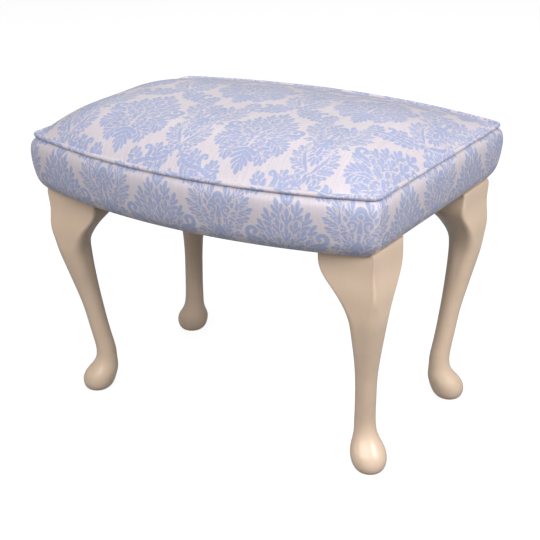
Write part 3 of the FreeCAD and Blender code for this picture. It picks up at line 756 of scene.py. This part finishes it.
def damask_material(cloth):
    """Ivory satin ground with a light blue woven figure."""
    n = Finish(DAMASK)
    satin = n.shared("Satin ribs", n.cloth_place(), Rib_count=840.0, Weft_count=1150.0)
    figure = n.put("ShaderNodeAttribute", {"attribute_name": "figure"}).outputs["Fac"]
    ragged = n.times(n.math("SUBTRACT", satin["Ragged"], 0.5), 0.5)
    inside = n.ramp(n.math("ADD", figure, ragged), 1.0, 0.0, -0.3, 0.3)
    tone = n.mottle(n.object_place(), 9.0, 0.97, 1.03)
    # painted shade: the colour is a little darker in the grooves between the ribs, on top of their bump
    rib_groove_shade = n.ramp(satin["Rib"], 0.93, 1.03)
    fleck = n.ramp(satin["Ragged"], 0.96, 1.04)
    streak = n.spread(satin["Streak"], 0.94, 1.05)
    level = n.times(n.times(tone, rib_groove_shade), n.times(fleck, streak))
    colour = n.blend(inside, opaque(cloth.ground), opaque(cloth.figure))
    return n.surface(Base_Color=n.scaled(colour, level), Roughness=n.ramp(inside, 0.42, 0.54),
                     Sheen_Weight=0.12, Sheen_Roughness=0.4, Specular_IOR_Level=0.38,
                     height=n.times_plus(satin["Height"], 0.4, inside), depth=0.00012)


def paint_material(finish):
    """Cream satin paint, brushed along the leg and a little worn on its arrises."""
    n = Finish("leg paint")
    place = n.object_place()
    strokes = n.clouds(n.mapped(place, Scale=(420.0, 420.0, 9.0)), 1.0, 3.0)
    level = n.times(n.mottle(place, 14.0, 0.95, 1.03), n.spread(strokes, 0.988, 1.01))
    worn = n.shared("Edge wear", place, Reach=0.45)[0]
    colour = n.blend(worn, n.scaled(finish.paint, level), opaque(finish.paint, 0.72))
    return n.surface(Base_Color=colour, Roughness=n.spread(strokes, 0.32, 0.40),
                     Coat_Weight=0.3, Coat_Roughness=0.2, height=strokes, depth=0.00003)


def wood_material(finish, name, turn):
    """Bare beech, its grain along the piece."""
    n = Finish(name)
    grain = n.shared("Wood grain", n.mapped(n.object_place(), Rotation=(0.0, 0.0, turn)),
                     Light=opaque(finish.bare_wood), Dark=opaque(finish.bare_wood, 0.62))
    return n.surface(Base_Color=grain["Color"], Roughness=n.ramp(grain["Height"], 0.6, 0.75),
                     height=grain["Height"], depth=0.0002)


def steel_material(finish):
    """Bright wire and tack steel with a little tarnish."""
    n = Finish("fastener steel")
    tone = n.mottle(n.object_place(), 400.0, 0.75, 1.1)
    return n.surface(Base_Color=n.scaled(finish.steel, tone), Metallic=1.0,
                     Roughness=n.ramp(tone, 0.5, 0.3, 0.75, 1.1), height=tone, depth=0.00003)


def jute_material(finish, name, warp, weft, striped):
    """Coarse jute weave; webbing has darker stripes near its edges."""
    n = Finish(name)
    place = n.cloth_place()
    weave = n.shared("Plain weave", place, Warp_count=warp, Weft_count=weft, Slub=0.5)
    # painted shade: darker towards each thread's edges, between the threads; the second factor is the
    # threads' own tone, which follows the slubs
    level = n.times(n.ramp(weave["Height"], 0.45, 1.05),
                    n.ramp(weave["Thread"], 0.85, 1.12, 0.2, 0.8))
    colour = n.scaled(finish.jute, level)
    if striped:
        aside = n.math("ABSOLUTE", n.put("ShaderNodeSeparateXYZ", Vector=place).outputs[0])
        off = n.math("ABSOLUTE", n.math("SUBTRACT", aside, STRIPE_PLACE))
        colour = n.blend(n.ramp(off, 1.0, 0.0, 0.0016, 0.0022), colour, STRIPE)
    return n.surface(Base_Color=colour, Roughness=n.ramp(weave["Thread"], 0.8, 0.95),
                     height=weave["Height"], depth=0.0006)


def black_cloth_material(finish):
    """Thin black bottom cloth."""
    n = Finish("bottom cloth")
    place = n.object_place()
    weave = n.shared("Plain weave", place, Warp_count=900.0, Weft_count=900.0, Slub=0.2)
    # painted shade: darker towards each thread's edges, between the threads, times a cloudy tone of the cloth
    level = n.times(n.mottle(place, 18.0, 0.8, 1.3), n.ramp(weave["Height"], 0.6, 1.2))
    return n.surface(Base_Color=n.scaled(finish.bottom, level),
                     Roughness=n.ramp(weave["Thread"], 0.75, 0.9),
                     height=weave["Height"], depth=0.0002)


def fluffy_material(name, rgb, scale, depth, rough):
    """Cotton fibres or the open cells of foam."""
    n = Finish(name)
    place = n.object_place()
    fibres = n.clouds(place, scale, 5.0, Distortion=1.5)
    cells = n.put("ShaderNodeTexVoronoi", Vector=place, Scale=scale * 1.6).outputs["Distance"]
    level = n.times(n.mottle(place, 20.0, 0.92, 1.05), n.spread(fibres, 0.88, 1.06))
    return n.surface(Base_Color=n.scaled(rgb, level),
                     Roughness=n.spread(fibres, rough - 0.05, rough + 0.05),
                     height=n.times_plus(cells, 0.5, fibres), depth=depth)


def floor_material():
    """White floor that keeps the stool's shadow and lets the view from below through."""
    n = Finish("floor")
    path = n.put("ShaderNodeLightPath").outputs
    camera = path["Is Camera Ray"]
    seen = n.math("MAXIMUM", camera, n.times(path["Is Glossy Ray"], 0.3))
    level = n.times(n.mottle(n.object_place(), 2.0, 0.995, 1.005), n.ramp(camera, 0.12, 0.28))
    from_below = n.put("ShaderNodeNewGeometry").outputs["Backfacing"]
    return n.surface(Base_Color=n.blend(level, BLACK, WHITE), Roughness=0.9, Specular_IOR_Level=0.1,
                     Emission_Color=WHITE, Emission_Strength=n.times(seen, FLOOR_WHITE),
                     Alpha=n.math("SUBTRACT", 1.0, from_below))


def finish_nodes(names, material):
    """Give CAD nodes that stay their finish."""
    for name in names:
        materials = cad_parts[name].data.materials
        materials.clear()
        materials.append(material)


# Operators

UP = Vector((0, 0, 1))
CORNERS = ("front_left", "front_right", "back_left", "back_right")

# The square lights: setting that gives the power, width and place, in metres
LIGHTS = (
    ("key", 1.5, (0.00, -2.25, 1.75)),
    ("fill", 1.5, (1.30, -1.90, 2.20)),
    ("side", 1.2, (2.30, -0.20, 1.90)),
    ("back", 1.4, (-1.00, 1.60, 1.90)),
)
LIT_POINT = Vector((0, 0, 0.3))
FLOOR_HALF_WIDTH = 9.0


class STOOL_OT_add_stage(bpy.types.Operator):
    """Set up the white floor, the soft lights, the surround and the camera"""

    bl_idname = "stool.add_stage"
    bl_label = "Stage"

    def execute(self, context):
        scene = context.scene
        view = scene.stool_view
        for name, build in SHARED_GROUPS.items():
            if name not in bpy.data.node_groups:
                build(name)
        bm = bmesh.new()
        bmesh.ops.create_grid(bm, x_segments=8, y_segments=8, size=FLOOR_HALF_WIDTH)
        mesh = mesh_from(bm, "floor")
        mesh.materials.append(floor_material())
        self.link(scene, "floor", mesh)

        scene.world = bpy.data.worlds.new("surround")
        scene.world.use_nodes = True
        n = Nodes(scene.world.node_tree)
        seen = n.put("ShaderNodeLightPath").outputs["Is Camera Ray"]
        background = n.tree.nodes["Background"].inputs
        n.feed(background["Color"], WHITE)
        n.feed(background["Strength"], n.ramp(seen, view.surround, 1.0))

        for name, width, place in LIGHTS:
            lamp = bpy.data.lights.new(name + " light", "AREA")
            lamp.energy = getattr(view, name)
            lamp.size = width
            light = self.link(scene, name + " light", lamp)
            light.location = place
            light.rotation_euler = (LIT_POINT - Vector(place)).to_track_quat("-Z", "Y").to_euler()
        self.add_camera(scene, view)
        scene.view_settings.view_transform = "Standard"
        return {"FINISHED"}

    def link(self, scene, name, data):
        made = bpy.data.objects.new(name, data)
        scene.collection.objects.link(made)
        return made

    def add_camera(self, scene, view):
        lens = bpy.data.cameras.new("camera")
        lens.lens = view.lens
        lens.sensor_width = 36.0
        lens.clip_end = 50.0
        back = Vector((math.sin(view.heading) * math.cos(view.dip),
                       -math.cos(view.heading) * math.cos(view.dip), math.sin(view.dip)))
        right = (-back).cross(UP).normalized()
        up = right.cross(-back)
        across = right * math.cos(view.roll) + up * math.sin(view.roll)
        upright = up * math.cos(view.roll) - right * math.sin(view.roll)
        turn = Matrix((across, upright, back)).transposed().to_4x4()
        scene.camera = self.link(scene, "camera", lens)
        scene.camera.matrix_world = Matrix.Translation(Vector(view.eye)) @ turn


class STOOL_OT_paint_legs(bpy.types.Operator):
    """Give the four cabriole legs their cream paint"""

    bl_idname = "stool.paint_legs"
    bl_label = "Legs"

    def execute(self, context):
        finish_nodes([corner + "_leg" for corner in CORNERS], paint_material(context.scene.stool_finish))
        return {"FINISHED"}


class STOOL_OT_finish_frame(bpy.types.Operator):
    """Finish the beech rails, corner blocks and dowels and their steel fasteners"""

    bl_idname = "stool.finish_frame"
    bl_label = "Frame and fasteners"

    def execute(self, context):
        finish = context.scene.stool_finish
        blocks = [corner + "_corner_block" for corner in CORNERS]
        lengthwise = wood_material(finish, "beech lengthwise", 0.0)
        finish_nodes(["front_rail", "back_rail", "rail_dowels"], lengthwise)
        finish_nodes(["left_rail", "right_rail"], wood_material(finish, "beech crosswise", math.pi / 2))
        finish_nodes(blocks, wood_material(finish, "beech slantwise", math.pi / 4))
        finish_nodes(["corner_block_screws", "webbing_tacks", "border_staples", "dust_cover_staples"],
                     steel_material(finish))
        return {"FINISHED"}


class STOOL_OT_add_webbing(bpy.types.Operator):
    """Weave the striped jute webbing over the rails"""

    bl_idname = "stool.add_webbing"
    bl_label = "Webbing"

    WIDTH = 0.050
    THICKNESS = 0.0016
    RISE = 0.010        # length over which a strip climbs onto another
    CROWN = 0.0002      # how far a strip's middle stands above its selvedges
    SPARE = 0.0003      # how far past the other's edge a strip stays up
    END_EDGE = 0.006    # from a long rail's outer face to the strips' ends
    CELLS = (200, 12)   # along a strip and across it

    def execute(self, context):
        low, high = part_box("webbing_along")
        outer_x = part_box("webbing_across")[1].x - self.WIDTH / 2
        rows = [(high.y - self.WIDTH / 2) * share for share in (-1, 0, 1)]
        columns = [outer_x * share for share in (-1, -0.5, 0, 0.5, 1)]
        level = low.z + self.THICKNESS / 2
        along = [self.strip(high.x, y, True, columns, i % 2 == 0, level) for i, y in enumerate(rows)]
        reaches = [self.cross_reach(abs(x) + self.WIDTH / 2) for x in columns]
        across = [self.strip(reach, x, False, rows, i % 2 == 1, level)
                  for i, (reach, x) in enumerate(zip(reaches, columns))]
        jute = jute_material(context.scene.stool_finish, "jute webbing", warp=420.0, weft=500.0, striped=True)
        for name, strips, run in (("webbing_along", along, 2 * high.x),
                                  ("webbing_across", across, 2 * sum(reaches) / len(columns))):
            bm = bmesh.new()
            for strip in strips:
                bm.from_mesh(strip)
                bpy.data.meshes.remove(strip)
            mesh = mesh_from(bm, name + "_cloth")
            mesh.shade_smooth()
            mesh.materials.append(jute)
            piece = new_object(name + "_cloth", mesh, name)
        return {"FINISHED"}

    def strip(self, half_length, middle, along_x, crossings, first_over, level):
        """One strip, which climbs over every other of those that it crosses."""
        reach = self.WIDTH / 2 + self.SPARE
        lifts = [(-half_length, 0.0)]
        for crossing in crossings[0 if first_over else 1::2]:
            lifts += [(crossing - reach - self.RISE, 0.0), (crossing - reach, self.THICKNESS),
                      (crossing + reach, self.THICKNESS), (crossing + reach + self.RISE, 0.0)]
        places, heights = np.array(lifts + [(half_length, 0.0)]).T

        def place(s, t):
            run = (2 * s - 1) * half_length
            aside = (t - 0.5) * self.WIDTH
            up = level + np.interp(run, places, heights) + self.CROWN * np.cos(aside / self.WIDTH * math.tau)
            across = middle + aside
            co = np.column_stack([run, across, up] if along_x else [across, run, up])
            return {"co": co, "uv": np.column_stack([aside, run])}

        return grid_mesh("strip", *self.CELLS, place, up=UP)

    def cross_reach(self, x):
        """Half length of a cross strip, which ends on the bowed rails."""
        radius = arc_radius(FRAME_HALF_LENGTH, FRAME_BOW)
        inner = radius - self.END_EDGE
        return FRAME_HALF_DEPTH + FRAME_BOW - radius + math.sqrt(inner ** 2 - x ** 2)


RIPPLE = 0.0002     # unevenness of a cloth that lies or hangs nearly flat


def ripple(x, y, per_metre, seed):
    """Slow rise and fall of such a cloth."""
    return RIPPLE * noise.noise(Vector((x * per_metre, y * per_metre, seed)))


def cloth_from_node(name, node, cell, shape):
    """Upper face of a flat solid, cut into small cells and moved by shape(x, y), and its area."""
    bm = bmesh.new()
    bm.from_mesh(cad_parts[node].data)
    bmesh.ops.remove_doubles(bm, verts=bm.verts, dist=TOUCH)
    bm.normal_update()
    others = [face for face in bm.faces if face.normal.z < 0.5]
    bmesh.ops.delete(bm, geom=others, context="FACES")
    bmesh.ops.dissolve_limit(bm, angle_limit=0.01, verts=bm.verts, edges=bm.edges)
    low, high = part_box(node)
    for axis, normal in enumerate((Vector((1, 0, 0)), Vector((0, 1, 0)))):
        count = int((high[axis] - low[axis]) / cell)
        for i in range(1, count):
            at = low.copy()
            at[axis] += (high[axis] - low[axis]) * i / count
            bmesh.ops.bisect_plane(bm, geom=bm.verts[:] + bm.edges[:] + bm.faces[:], plane_co=at,
                                   plane_no=normal, dist=1e-7)
    bmesh.ops.remove_doubles(bm, verts=bm.verts, dist=TOUCH)
    layer = bm.loops.layers.uv.new("cloth")
    for face in bm.faces:
        for loop in face.loops:
            loop[layer].uv = loop.vert.co.xy
    for vert in bm.verts:
        vert.co.z += shape(vert.co.x, vert.co.y)
    area = sum(face.calc_area() for face in bm.faces)
    mesh = mesh_from(bm, name)
    mesh.shade_smooth()
    return mesh, area


class STOOL_OT_add_hessian(bpy.types.Operator):
    """Lay the hessian over the webbing"""

    bl_idname = "stool.add_hessian"
    bl_label = "Hessian"

    SINK = 0.0004       # from its solid's upper face down to the middle of the thickness

    def execute(self, context):
        def shape(x, y):
            return -self.SINK + ripple(x, y, 30, 3.0)

        mesh, area = cloth_from_node("hessian_cloth", "hessian", cell=0.008, shape=shape)
        jute = jute_material(context.scene.stool_finish, "hessian", warp=620.0, weft=620.0, striped=False)
        mesh.materials.append(jute)
        piece = new_object("hessian_cloth", mesh, "hessian")
        return {"FINISHED"}


class STOOL_OT_add_stuffing(bpy.types.Operator):
    """Fill the seat with its foam pad and the wadding round it"""

    bl_idname = "stool.add_stuffing"
    bl_label = "Foam and wadding"

    SWELLING_FRAMES = 8
    HEM = 0.352     # below this height a pad is drawn up, clear of the border's turned edge

    def execute(self, context):
        finish = context.scene.stool_finish
        foam = self.pad(context, "foam_filling", "foam_pad", "foam", cell=0.0045, shrink=0.0005)
        foam.data.materials.append(
            fluffy_material("seat foam", finish.foam, scale=900.0, depth=0.0003, rough=0.9))
        wadding = self.pad(context, "wadding_layer", "wadding", "wadding", cell=0.0033, shrink=0.0013)
        self.swell(context, wadding, pressure=3.0, most=0.0007)
        wadding.data.materials.append(
            fluffy_material("wadding", finish.cotton, scale=500.0, depth=0.0006, rough=0.95))
        return {"FINISHED"}

    def pad(self, context, name, node, slot, cell, shrink):
        """Copy of a stuffing solid in even cells, with soft edges and a little smaller."""
        bm = bmesh.new()
        bm.from_mesh(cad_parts[node].data)
        bmesh.ops.remove_doubles(bm, verts=bm.verts, dist=TOUCH)
        piece = new_object(name, mesh_from(bm, name), node)
        context.view_layer.update()
        remesh = piece.modifiers.new("even cells", "REMESH")
        remesh.mode = "VOXEL"
        remesh.voxel_size = cell
        relax = piece.modifiers.new("soft edges", "SMOOTH")
        relax.factor = 0.5
        relax.iterations = 2
        self.settle(context, piece)
        places = vertex_places(piece.data)
        normals = np.empty(places.size, np.float32)
        piece.data.vertices.foreach_get("normal", normals)
        places = places - normals.reshape(-1, 3) * shrink
        places[:, 2] = np.maximum(places[:, 2], (places[:, 2] + self.HEM) / 2)
        set_vertex_places(piece.data, places)
        piece.data.shade_smooth()
        return piece

    def swell(self, context, piece, pressure, most):
        """Let the cloth of a pad swell, each point by no more than most."""
        start = vertex_places(piece.data)
        cloth = piece.modifiers.new("swelling", "CLOTH")
        cloth.settings.use_pressure = True
        cloth.settings.uniform_pressure_force = pressure
        cloth.settings.effector_weights.gravity = 0.0
        cloth.point_cache.frame_start = 1
        cloth.point_cache.frame_end = self.SWELLING_FRAMES
        for number in range(1, self.SWELLING_FRAMES + 1):
            context.scene.frame_set(number)
        self.settle(context, piece)
        context.scene.frame_set(1)
        moved = vertex_places(piece.data) - start
        length = np.linalg.norm(moved, axis=1)[:, None]
        set_vertex_places(piece.data, start + moved * np.minimum(1.0, most / np.maximum(length, 1e-9)))

    def settle(self, context, piece):
        """Keep what the modifiers made as the piece's own mesh."""
        seen = piece.evaluated_get(context.evaluated_depsgraph_get())
        mesh = bpy.data.meshes.new_from_object(seen)
        piece.modifiers.clear()
        old = piece.data
        piece.data = mesh
        bpy.data.meshes.remove(old)


SHORT = 0.001   # a place on a table's last row is read this much before it, in rows


def damask_piece(name, mesh, node, cloth):
    """A piece of the damask that the cover, the border and the piping share."""
    mesh.materials.append(bpy.data.materials.get(DAMASK) or damask_material(cloth))
    return new_object(name, mesh, node)


class STOOL_OT_add_top_cover(bpy.types.Operator):
    """Stretch the damask over the crowned top"""

    bl_idname = "stool.add_top_cover"
    bl_label = "Top cover"

    COLUMNS = 346
    ROWS = 287
    SEAM_DIP = 0.0026       # how far the cover dips where it meets the piping
    SEAM_REACH = 0.0016     # distance over which that dip fades
    SMOOTH_EDGE = 0.02      # width along the piping where the unevenness fades in
    END_SPARE = 0.04        # cloth for the crown's fall to both ends
    BOWED_SHARE = 0.93      # what the bowed sides leave of the cloth's rectangle
    OVERLAP = 0.0003        # how far the cover runs in under the piping's widest line
    CORNER_REACH = 0.69     # part of the corner's radius over which the grid is rounded
    SLANT = 0.97            # for the long sides' slant, in the distance to the piping
    LENGTH_STEPS = 60
    DEPTH_STEPS = 400

    def execute(self, context):
        seat = context.scene.stool_seat
        cloth = context.scene.stool_cloth
        pattern = damask_pattern(cloth)
        inset = PIPING_WIDTH / 2 - self.OVERLAP

        def place(s, t):
            x, y = self.plan(2 * s - 1, 2 * t - 1, seat, inset)
            to_edge = self.edge_distance(x, y, seat)
            dip = self.SEAM_DIP * np.exp(-(to_edge - inset) / self.SEAM_REACH)
            z = SEAT_HEIGHT + crown_at(x, y, seat) - dip
            z += seat.softness * np.clip(to_edge / self.SMOOTH_EDGE, 0, 1) * unevenness(x, y, z)
            run = self.run_over_crown(x, y, seat)
            u = x + seat.skew * y
            return {"co": np.column_stack([x, y, z]), "uv": np.column_stack([u, run]),
                    "figure": pattern.at(u - cloth.first_axis, run - cloth.first_tip)}

        mesh = grid_mesh("top_cover_damask", self.COLUMNS, self.ROWS, place, up=UP)
        piece = damask_piece("top_cover_damask", mesh, "top_cover", cloth)
        depth = 2 * float(self.run_over_crown(np.zeros(1), np.array([half_depth_at(0.0, seat)]), seat)[0])
        return {"FINISHED"}

    def plan(self, a, b, seat, inset):
        """Spread a square over the seat's plan, rounding its corners."""
        half_length = SEAT_HALF_LENGTH - inset
        x = np.abs(a) * half_length
        half_depth = half_depth_at(x, seat) - inset
        y = np.abs(b) * half_depth
        reach = seat.corner * self.CORNER_REACH
        e = np.clip((x - half_length + reach) / reach, 0, 1)
        f = np.clip((y - half_depth + reach) / reach, 0, 1)
        x = np.where(e > 0, half_length - reach + reach * e * np.sqrt(1 - f * f / 2), x)
        bent = half_depth_at(x, seat) - inset
        y = np.where(f > 0, bent - reach + reach * f * np.sqrt(1 - e * e / 2), y)
        return np.sign(a) * x, np.sign(b) * y

    def edge_distance(self, x, y, seat):
        """Rough distance to the piping."""
        return np.minimum(SEAT_HALF_LENGTH - np.abs(x), (half_depth_at(x, seat) - np.abs(y)) * self.SLANT)

    def run_over_crown(self, x, y, seat):
        """Length of cloth from the seat's long axis to a point, over the crown."""
        columns = np.linspace(0, SEAT_HALF_LENGTH, self.LENGTH_STEPS + 1)
        wide, way = np.meshgrid(columns, np.linspace(-1, 1, self.DEPTH_STEPS + 1), indexing="ij")
        deep = way * half_depth_at(wide, seat)
        steps = np.hypot(np.diff(deep, axis=1), np.diff(crown_at(wide, deep, seat), axis=1))
        run = np.concatenate([np.zeros((len(columns), 1)), np.cumsum(steps, axis=1)], axis=1)
        middle = self.DEPTH_STEPS // 2
        run -= run[:, middle:middle + 1]
        row = np.clip(np.abs(x) / SEAT_HALF_LENGTH * self.LENGTH_STEPS, 0, self.LENGTH_STEPS - SHORT)
        column = np.clip((y / half_depth_at(x, seat) + 1) * middle, 0, self.DEPTH_STEPS - SHORT)
        return read_between(run, row, column)


class STOOL_OT_add_border(bpy.types.Operator):
    """Fit the damask border round the sides, turned under the rails"""

    bl_idname = "stool.add_border"
    bl_label = "Border"

    ROWS = 76
    SECTION_STEPS = 600
    BOW_FALL = 1.25         # power at which the bow is lost down the border
    PATTERN_FALL = 1.08     # length of pattern for a length of the border's section
    # the square tops of the legs, on which the turned-under edge lies
    KNEE_OUTER = (FRAME_HALF_LENGTH + 0.0046, FRAME_HALF_DEPTH + 0.0046)
    KNEE_INNER = (FRAME_HALF_LENGTH - 0.0785, FRAME_HALF_DEPTH - 0.0785)
    CLEAR = 0.0004          # how far the edge stays above the rails' bottom there

    def execute(self, context):
        seat = context.scene.stool_seat
        cloth = context.scene.stool_cloth
        pattern = damask_pattern(cloth)
        section = smooth_run(BORDER_SECTION, np.linspace(0, 1, self.SECTION_STEPS))
        drop = run_lengths(section)
        shares = np.linspace(0, drop[-1], self.ROWS + 1)
        heights = np.interp(shares, drop, section[:, 0])
        outs = np.interp(shares, drop, section[:, 1])
        lost = np.clip(heights / BORDER_SECTION[-1][0], 0, 1) ** self.BOW_FALL
        rings = np.array([
            round_outline(SEAT_HALF_LENGTH + out, SEAT_HALF_DEPTH + out,
                          seat.bow - (seat.bow - seat.bottom_bow) * share, seat.corner)
            for out, share in zip(outs, lost)])
        path = round_outline(SEAT_HALF_LENGTH, SEAT_HALF_DEPTH, seat.bow, seat.corner)
        along = run_lengths(path)
        corner = np.argmin(np.hypot(path[:, 0] + SEAT_HALF_LENGTH, path[:, 1] + SEAT_HALF_DEPTH))
        repeats = round(along[-1] / (2 * cloth.half_repeat))
        scale = repeats * 2 * cloth.half_repeat / along[-1]
        columns = len(path) - 1

        def place(s, t):
            i = np.rint(s * columns).astype(int)
            j = np.rint(t * self.ROWS).astype(int)
            x, y = rings[j, i, 0], rings[j, i, 1]
            z = SEAT_HEIGHT + heights[j]
            over_knee = ((np.abs(x) < self.KNEE_OUTER[0]) & (np.abs(y) < self.KNEE_OUTER[1])
                         & (np.abs(x) > self.KNEE_INNER[0]) & (np.abs(y) > self.KNEE_INNER[1]))
            z = np.where(over_knee, np.maximum(z, RAIL_BOTTOM + self.CLEAR), z)
            u = (along[i] - along[corner] - cloth.border_axis) * scale
            v = cloth.border_drop - self.PATTERN_FALL * shares[j]
            return {"co": np.column_stack([x, y, z]), "uv": np.column_stack([along[i] * scale, v]),
                    "figure": pattern.at(u, v)}

        mesh = grid_mesh("border_damask", columns, self.ROWS, place, close=True)
        piece = damask_piece("border_damask", mesh, "border_band", cloth)
        return {"FINISHED"}


class STOOL_OT_add_piping(bpy.types.Operator):
    """Run the covered cord round the seat's edge"""

    bl_idname = "stool.add_piping"
    bl_label = "Piping"

    # the sleeve's two flaps, which run inwards from the cord, as (outwards, up) from its middle
    LOWER_FLAP = [(-0.0085, -0.0024), (-0.006, -0.0022)]
    UPPER_FLAP = [(-0.006, -0.0008)]
    # the sleeve's ring, from the lower flap round the outside to the upper one
    RING_TURN = (math.radians(-158), math.radians(165))
    RING_POINTS = 19
    CORD_POINTS = 18
    CORD_RADIUS = (CORD_HIGH.z - CORD_LOW.z) / 2 * 0.98     # just under the solid cord's
    GROOVE = 0.20           # depth of the grooves between strands, as a share of that radius
    STRANDS = 3
    STRAND_STEP = 0.013     # length of cord from one strand to the next

    def execute(self, context):
        seat = context.scene.stool_seat
        cloth = context.scene.stool_cloth
        path = round_outline(SEAT_HALF_LENGTH, SEAT_HALF_DEPTH, seat.bow, seat.corner)
        out = outward(path)
        along = run_lengths(path)
        angles = np.linspace(*self.RING_TURN, self.RING_POINTS)
        ring = [(PIPING_WIDTH / 2 * math.cos(a), PIPING_WIDTH / 2 * math.sin(a)) for a in angles]
        section = np.array(self.LOWER_FLAP + ring + self.UPPER_FLAP)
        girth = run_lengths(section)
        pattern = damask_pattern(cloth)
        columns = len(path) - 1

        def sleeve(s, t):
            i = np.rint(s * columns).astype(int)
            j = np.rint(t * (len(section) - 1)).astype(int)
            xy = path[i] + out[i] * section[j, :1]
            co = np.column_stack([xy, SEAT_HEIGHT + section[j, 1]])
            # cut on the bias, so the pattern crosses the cord at half a right angle
            u = (along[i] + girth[j]) * math.sqrt(0.5)
            v = (along[i] - girth[j]) * math.sqrt(0.5)
            return {"co": co, "uv": np.column_stack([u, v]), "figure": pattern.at(u, v)}

        mesh = grid_mesh("piping_sleeve", columns, len(section) - 1, sleeve, close=True)
        piece = damask_piece("piping_sleeve", mesh, "piping_cover", cloth)

        twists = round(along[-1] / self.STRAND_STEP)

        def strands(s, t):
            """Round strands twisted together."""
            i = np.rint(s * columns).astype(int)
            angle = math.tau * np.rint(t * self.CORD_POINTS) / self.CORD_POINTS
            turned = math.tau * twists * along[i] / along[-1] / self.STRANDS
            lobe = np.abs(np.cos(self.STRANDS / 2 * (angle - turned)))
            reach = self.CORD_RADIUS * (1 - self.GROOVE + self.GROOVE * lobe)
            xy = path[i] + out[i] * (reach * np.cos(angle))[:, None]
            return {"co": np.column_stack([xy, SEAT_HEIGHT + reach * np.sin(angle)])}

        mesh = grid_mesh("twisted_cord", columns, self.CORD_POINTS, strands, close=True)
        cotton = context.scene.stool_finish.cotton
        mesh.materials.append(fluffy_material("cotton cord", cotton, scale=1500.0, depth=0.0002, rough=0.85))
        new_object("twisted_cord", mesh, "piping_cord")
        return {"FINISHED"}


class STOOL_OT_add_bottom_cloth(bpy.types.Operator):
    """Close the underside with black cloth"""

    bl_idname = "stool.add_bottom_cloth"
    bl_label = "Bottom cloth"

    RAIL_WIDTH = 0.024
    SINK = 0.0006       # how far it lies below its solid's upper face at the rails
    SAG = 0.0016        # and how much further in its middle

    def execute(self, context):
        inner = FRAME_HALF_LENGTH - self.RAIL_WIDTH
        deep = FRAME_HALF_DEPTH + FRAME_BOW - self.RAIL_WIDTH

        def shape(x, y):
            """Sags a little between the rails."""
            sag = max(0.0, 1 - (x / inner) ** 2) * max(0.0, 1 - (y / deep) ** 2)
            return -self.SINK - self.SAG * sag + ripple(x, y, 25, 7.0)

        mesh, area = cloth_from_node("bottom_cloth", "dust_cover", cell=0.010, shape=shape)
        mesh.materials.append(black_cloth_material(context.scene.stool_finish))
        piece = new_object("bottom_cloth", mesh, "dust_cover")
        return {"FINISHED"}


# Panel and registration

SETTINGS = {
    "stool_seat": StoolSeatSettings,
    "stool_cloth": StoolClothSettings,
    "stool_finish": StoolFinishSettings,
    "stool_view": StoolViewSettings,
}

OPERATORS = [
    STOOL_OT_add_stage,
    STOOL_OT_paint_legs,
    STOOL_OT_finish_frame,
    STOOL_OT_add_webbing,
    STOOL_OT_add_hessian,
    STOOL_OT_add_stuffing,
    STOOL_OT_add_top_cover,
    STOOL_OT_add_border,
    STOOL_OT_add_piping,
    STOOL_OT_add_bottom_cloth,
]


class STOOL_PT_panel(bpy.types.Panel):
    """Lists the stool's pieces and their settings"""

    bl_idname = "STOOL_PT_panel"
    bl_label = "Upholstered stool"
    bl_space_type = "VIEW_3D"
    bl_region_type = "UI"
    bl_category = "Stool"

    def draw(self, context):
        for title, settings in SETTINGS.items():
            column = self.layout.column(align=True)
            for name in settings.__annotations__:
                column.prop(getattr(context.scene, title), name)
        column = self.layout.column(align=True)
        for operator in OPERATORS:
            column.operator(operator.bl_idname)


def register():
    for made in [*SETTINGS.values(), *OPERATORS, STOOL_PT_panel]:
        bpy.utils.register_class(made)
    for name, made in SETTINGS.items():
        setattr(bpy.types.Scene, name, bpy.props.PointerProperty(type=made))


def unregister():
    for name in SETTINGS:
        delattr(bpy.types.Scene, name)
    for made in [STOOL_PT_panel, *reversed(OPERATORS), *reversed(SETTINGS.values())]:
        bpy.utils.unregister_class(made)


def main():
    register()
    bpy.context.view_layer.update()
    bpy.ops.stool.add_stage()
    bpy.ops.stool.paint_legs()
    bpy.ops.stool.finish_frame()
    bpy.ops.stool.add_webbing()
    bpy.ops.stool.add_hessian()
    bpy.ops.stool.add_stuffing()
    bpy.ops.stool.add_top_cover()
    bpy.ops.stool.add_border()
    bpy.ops.stool.add_piping()
    bpy.ops.stool.add_bottom_cloth()


if __name__ == "__main__":
    main()
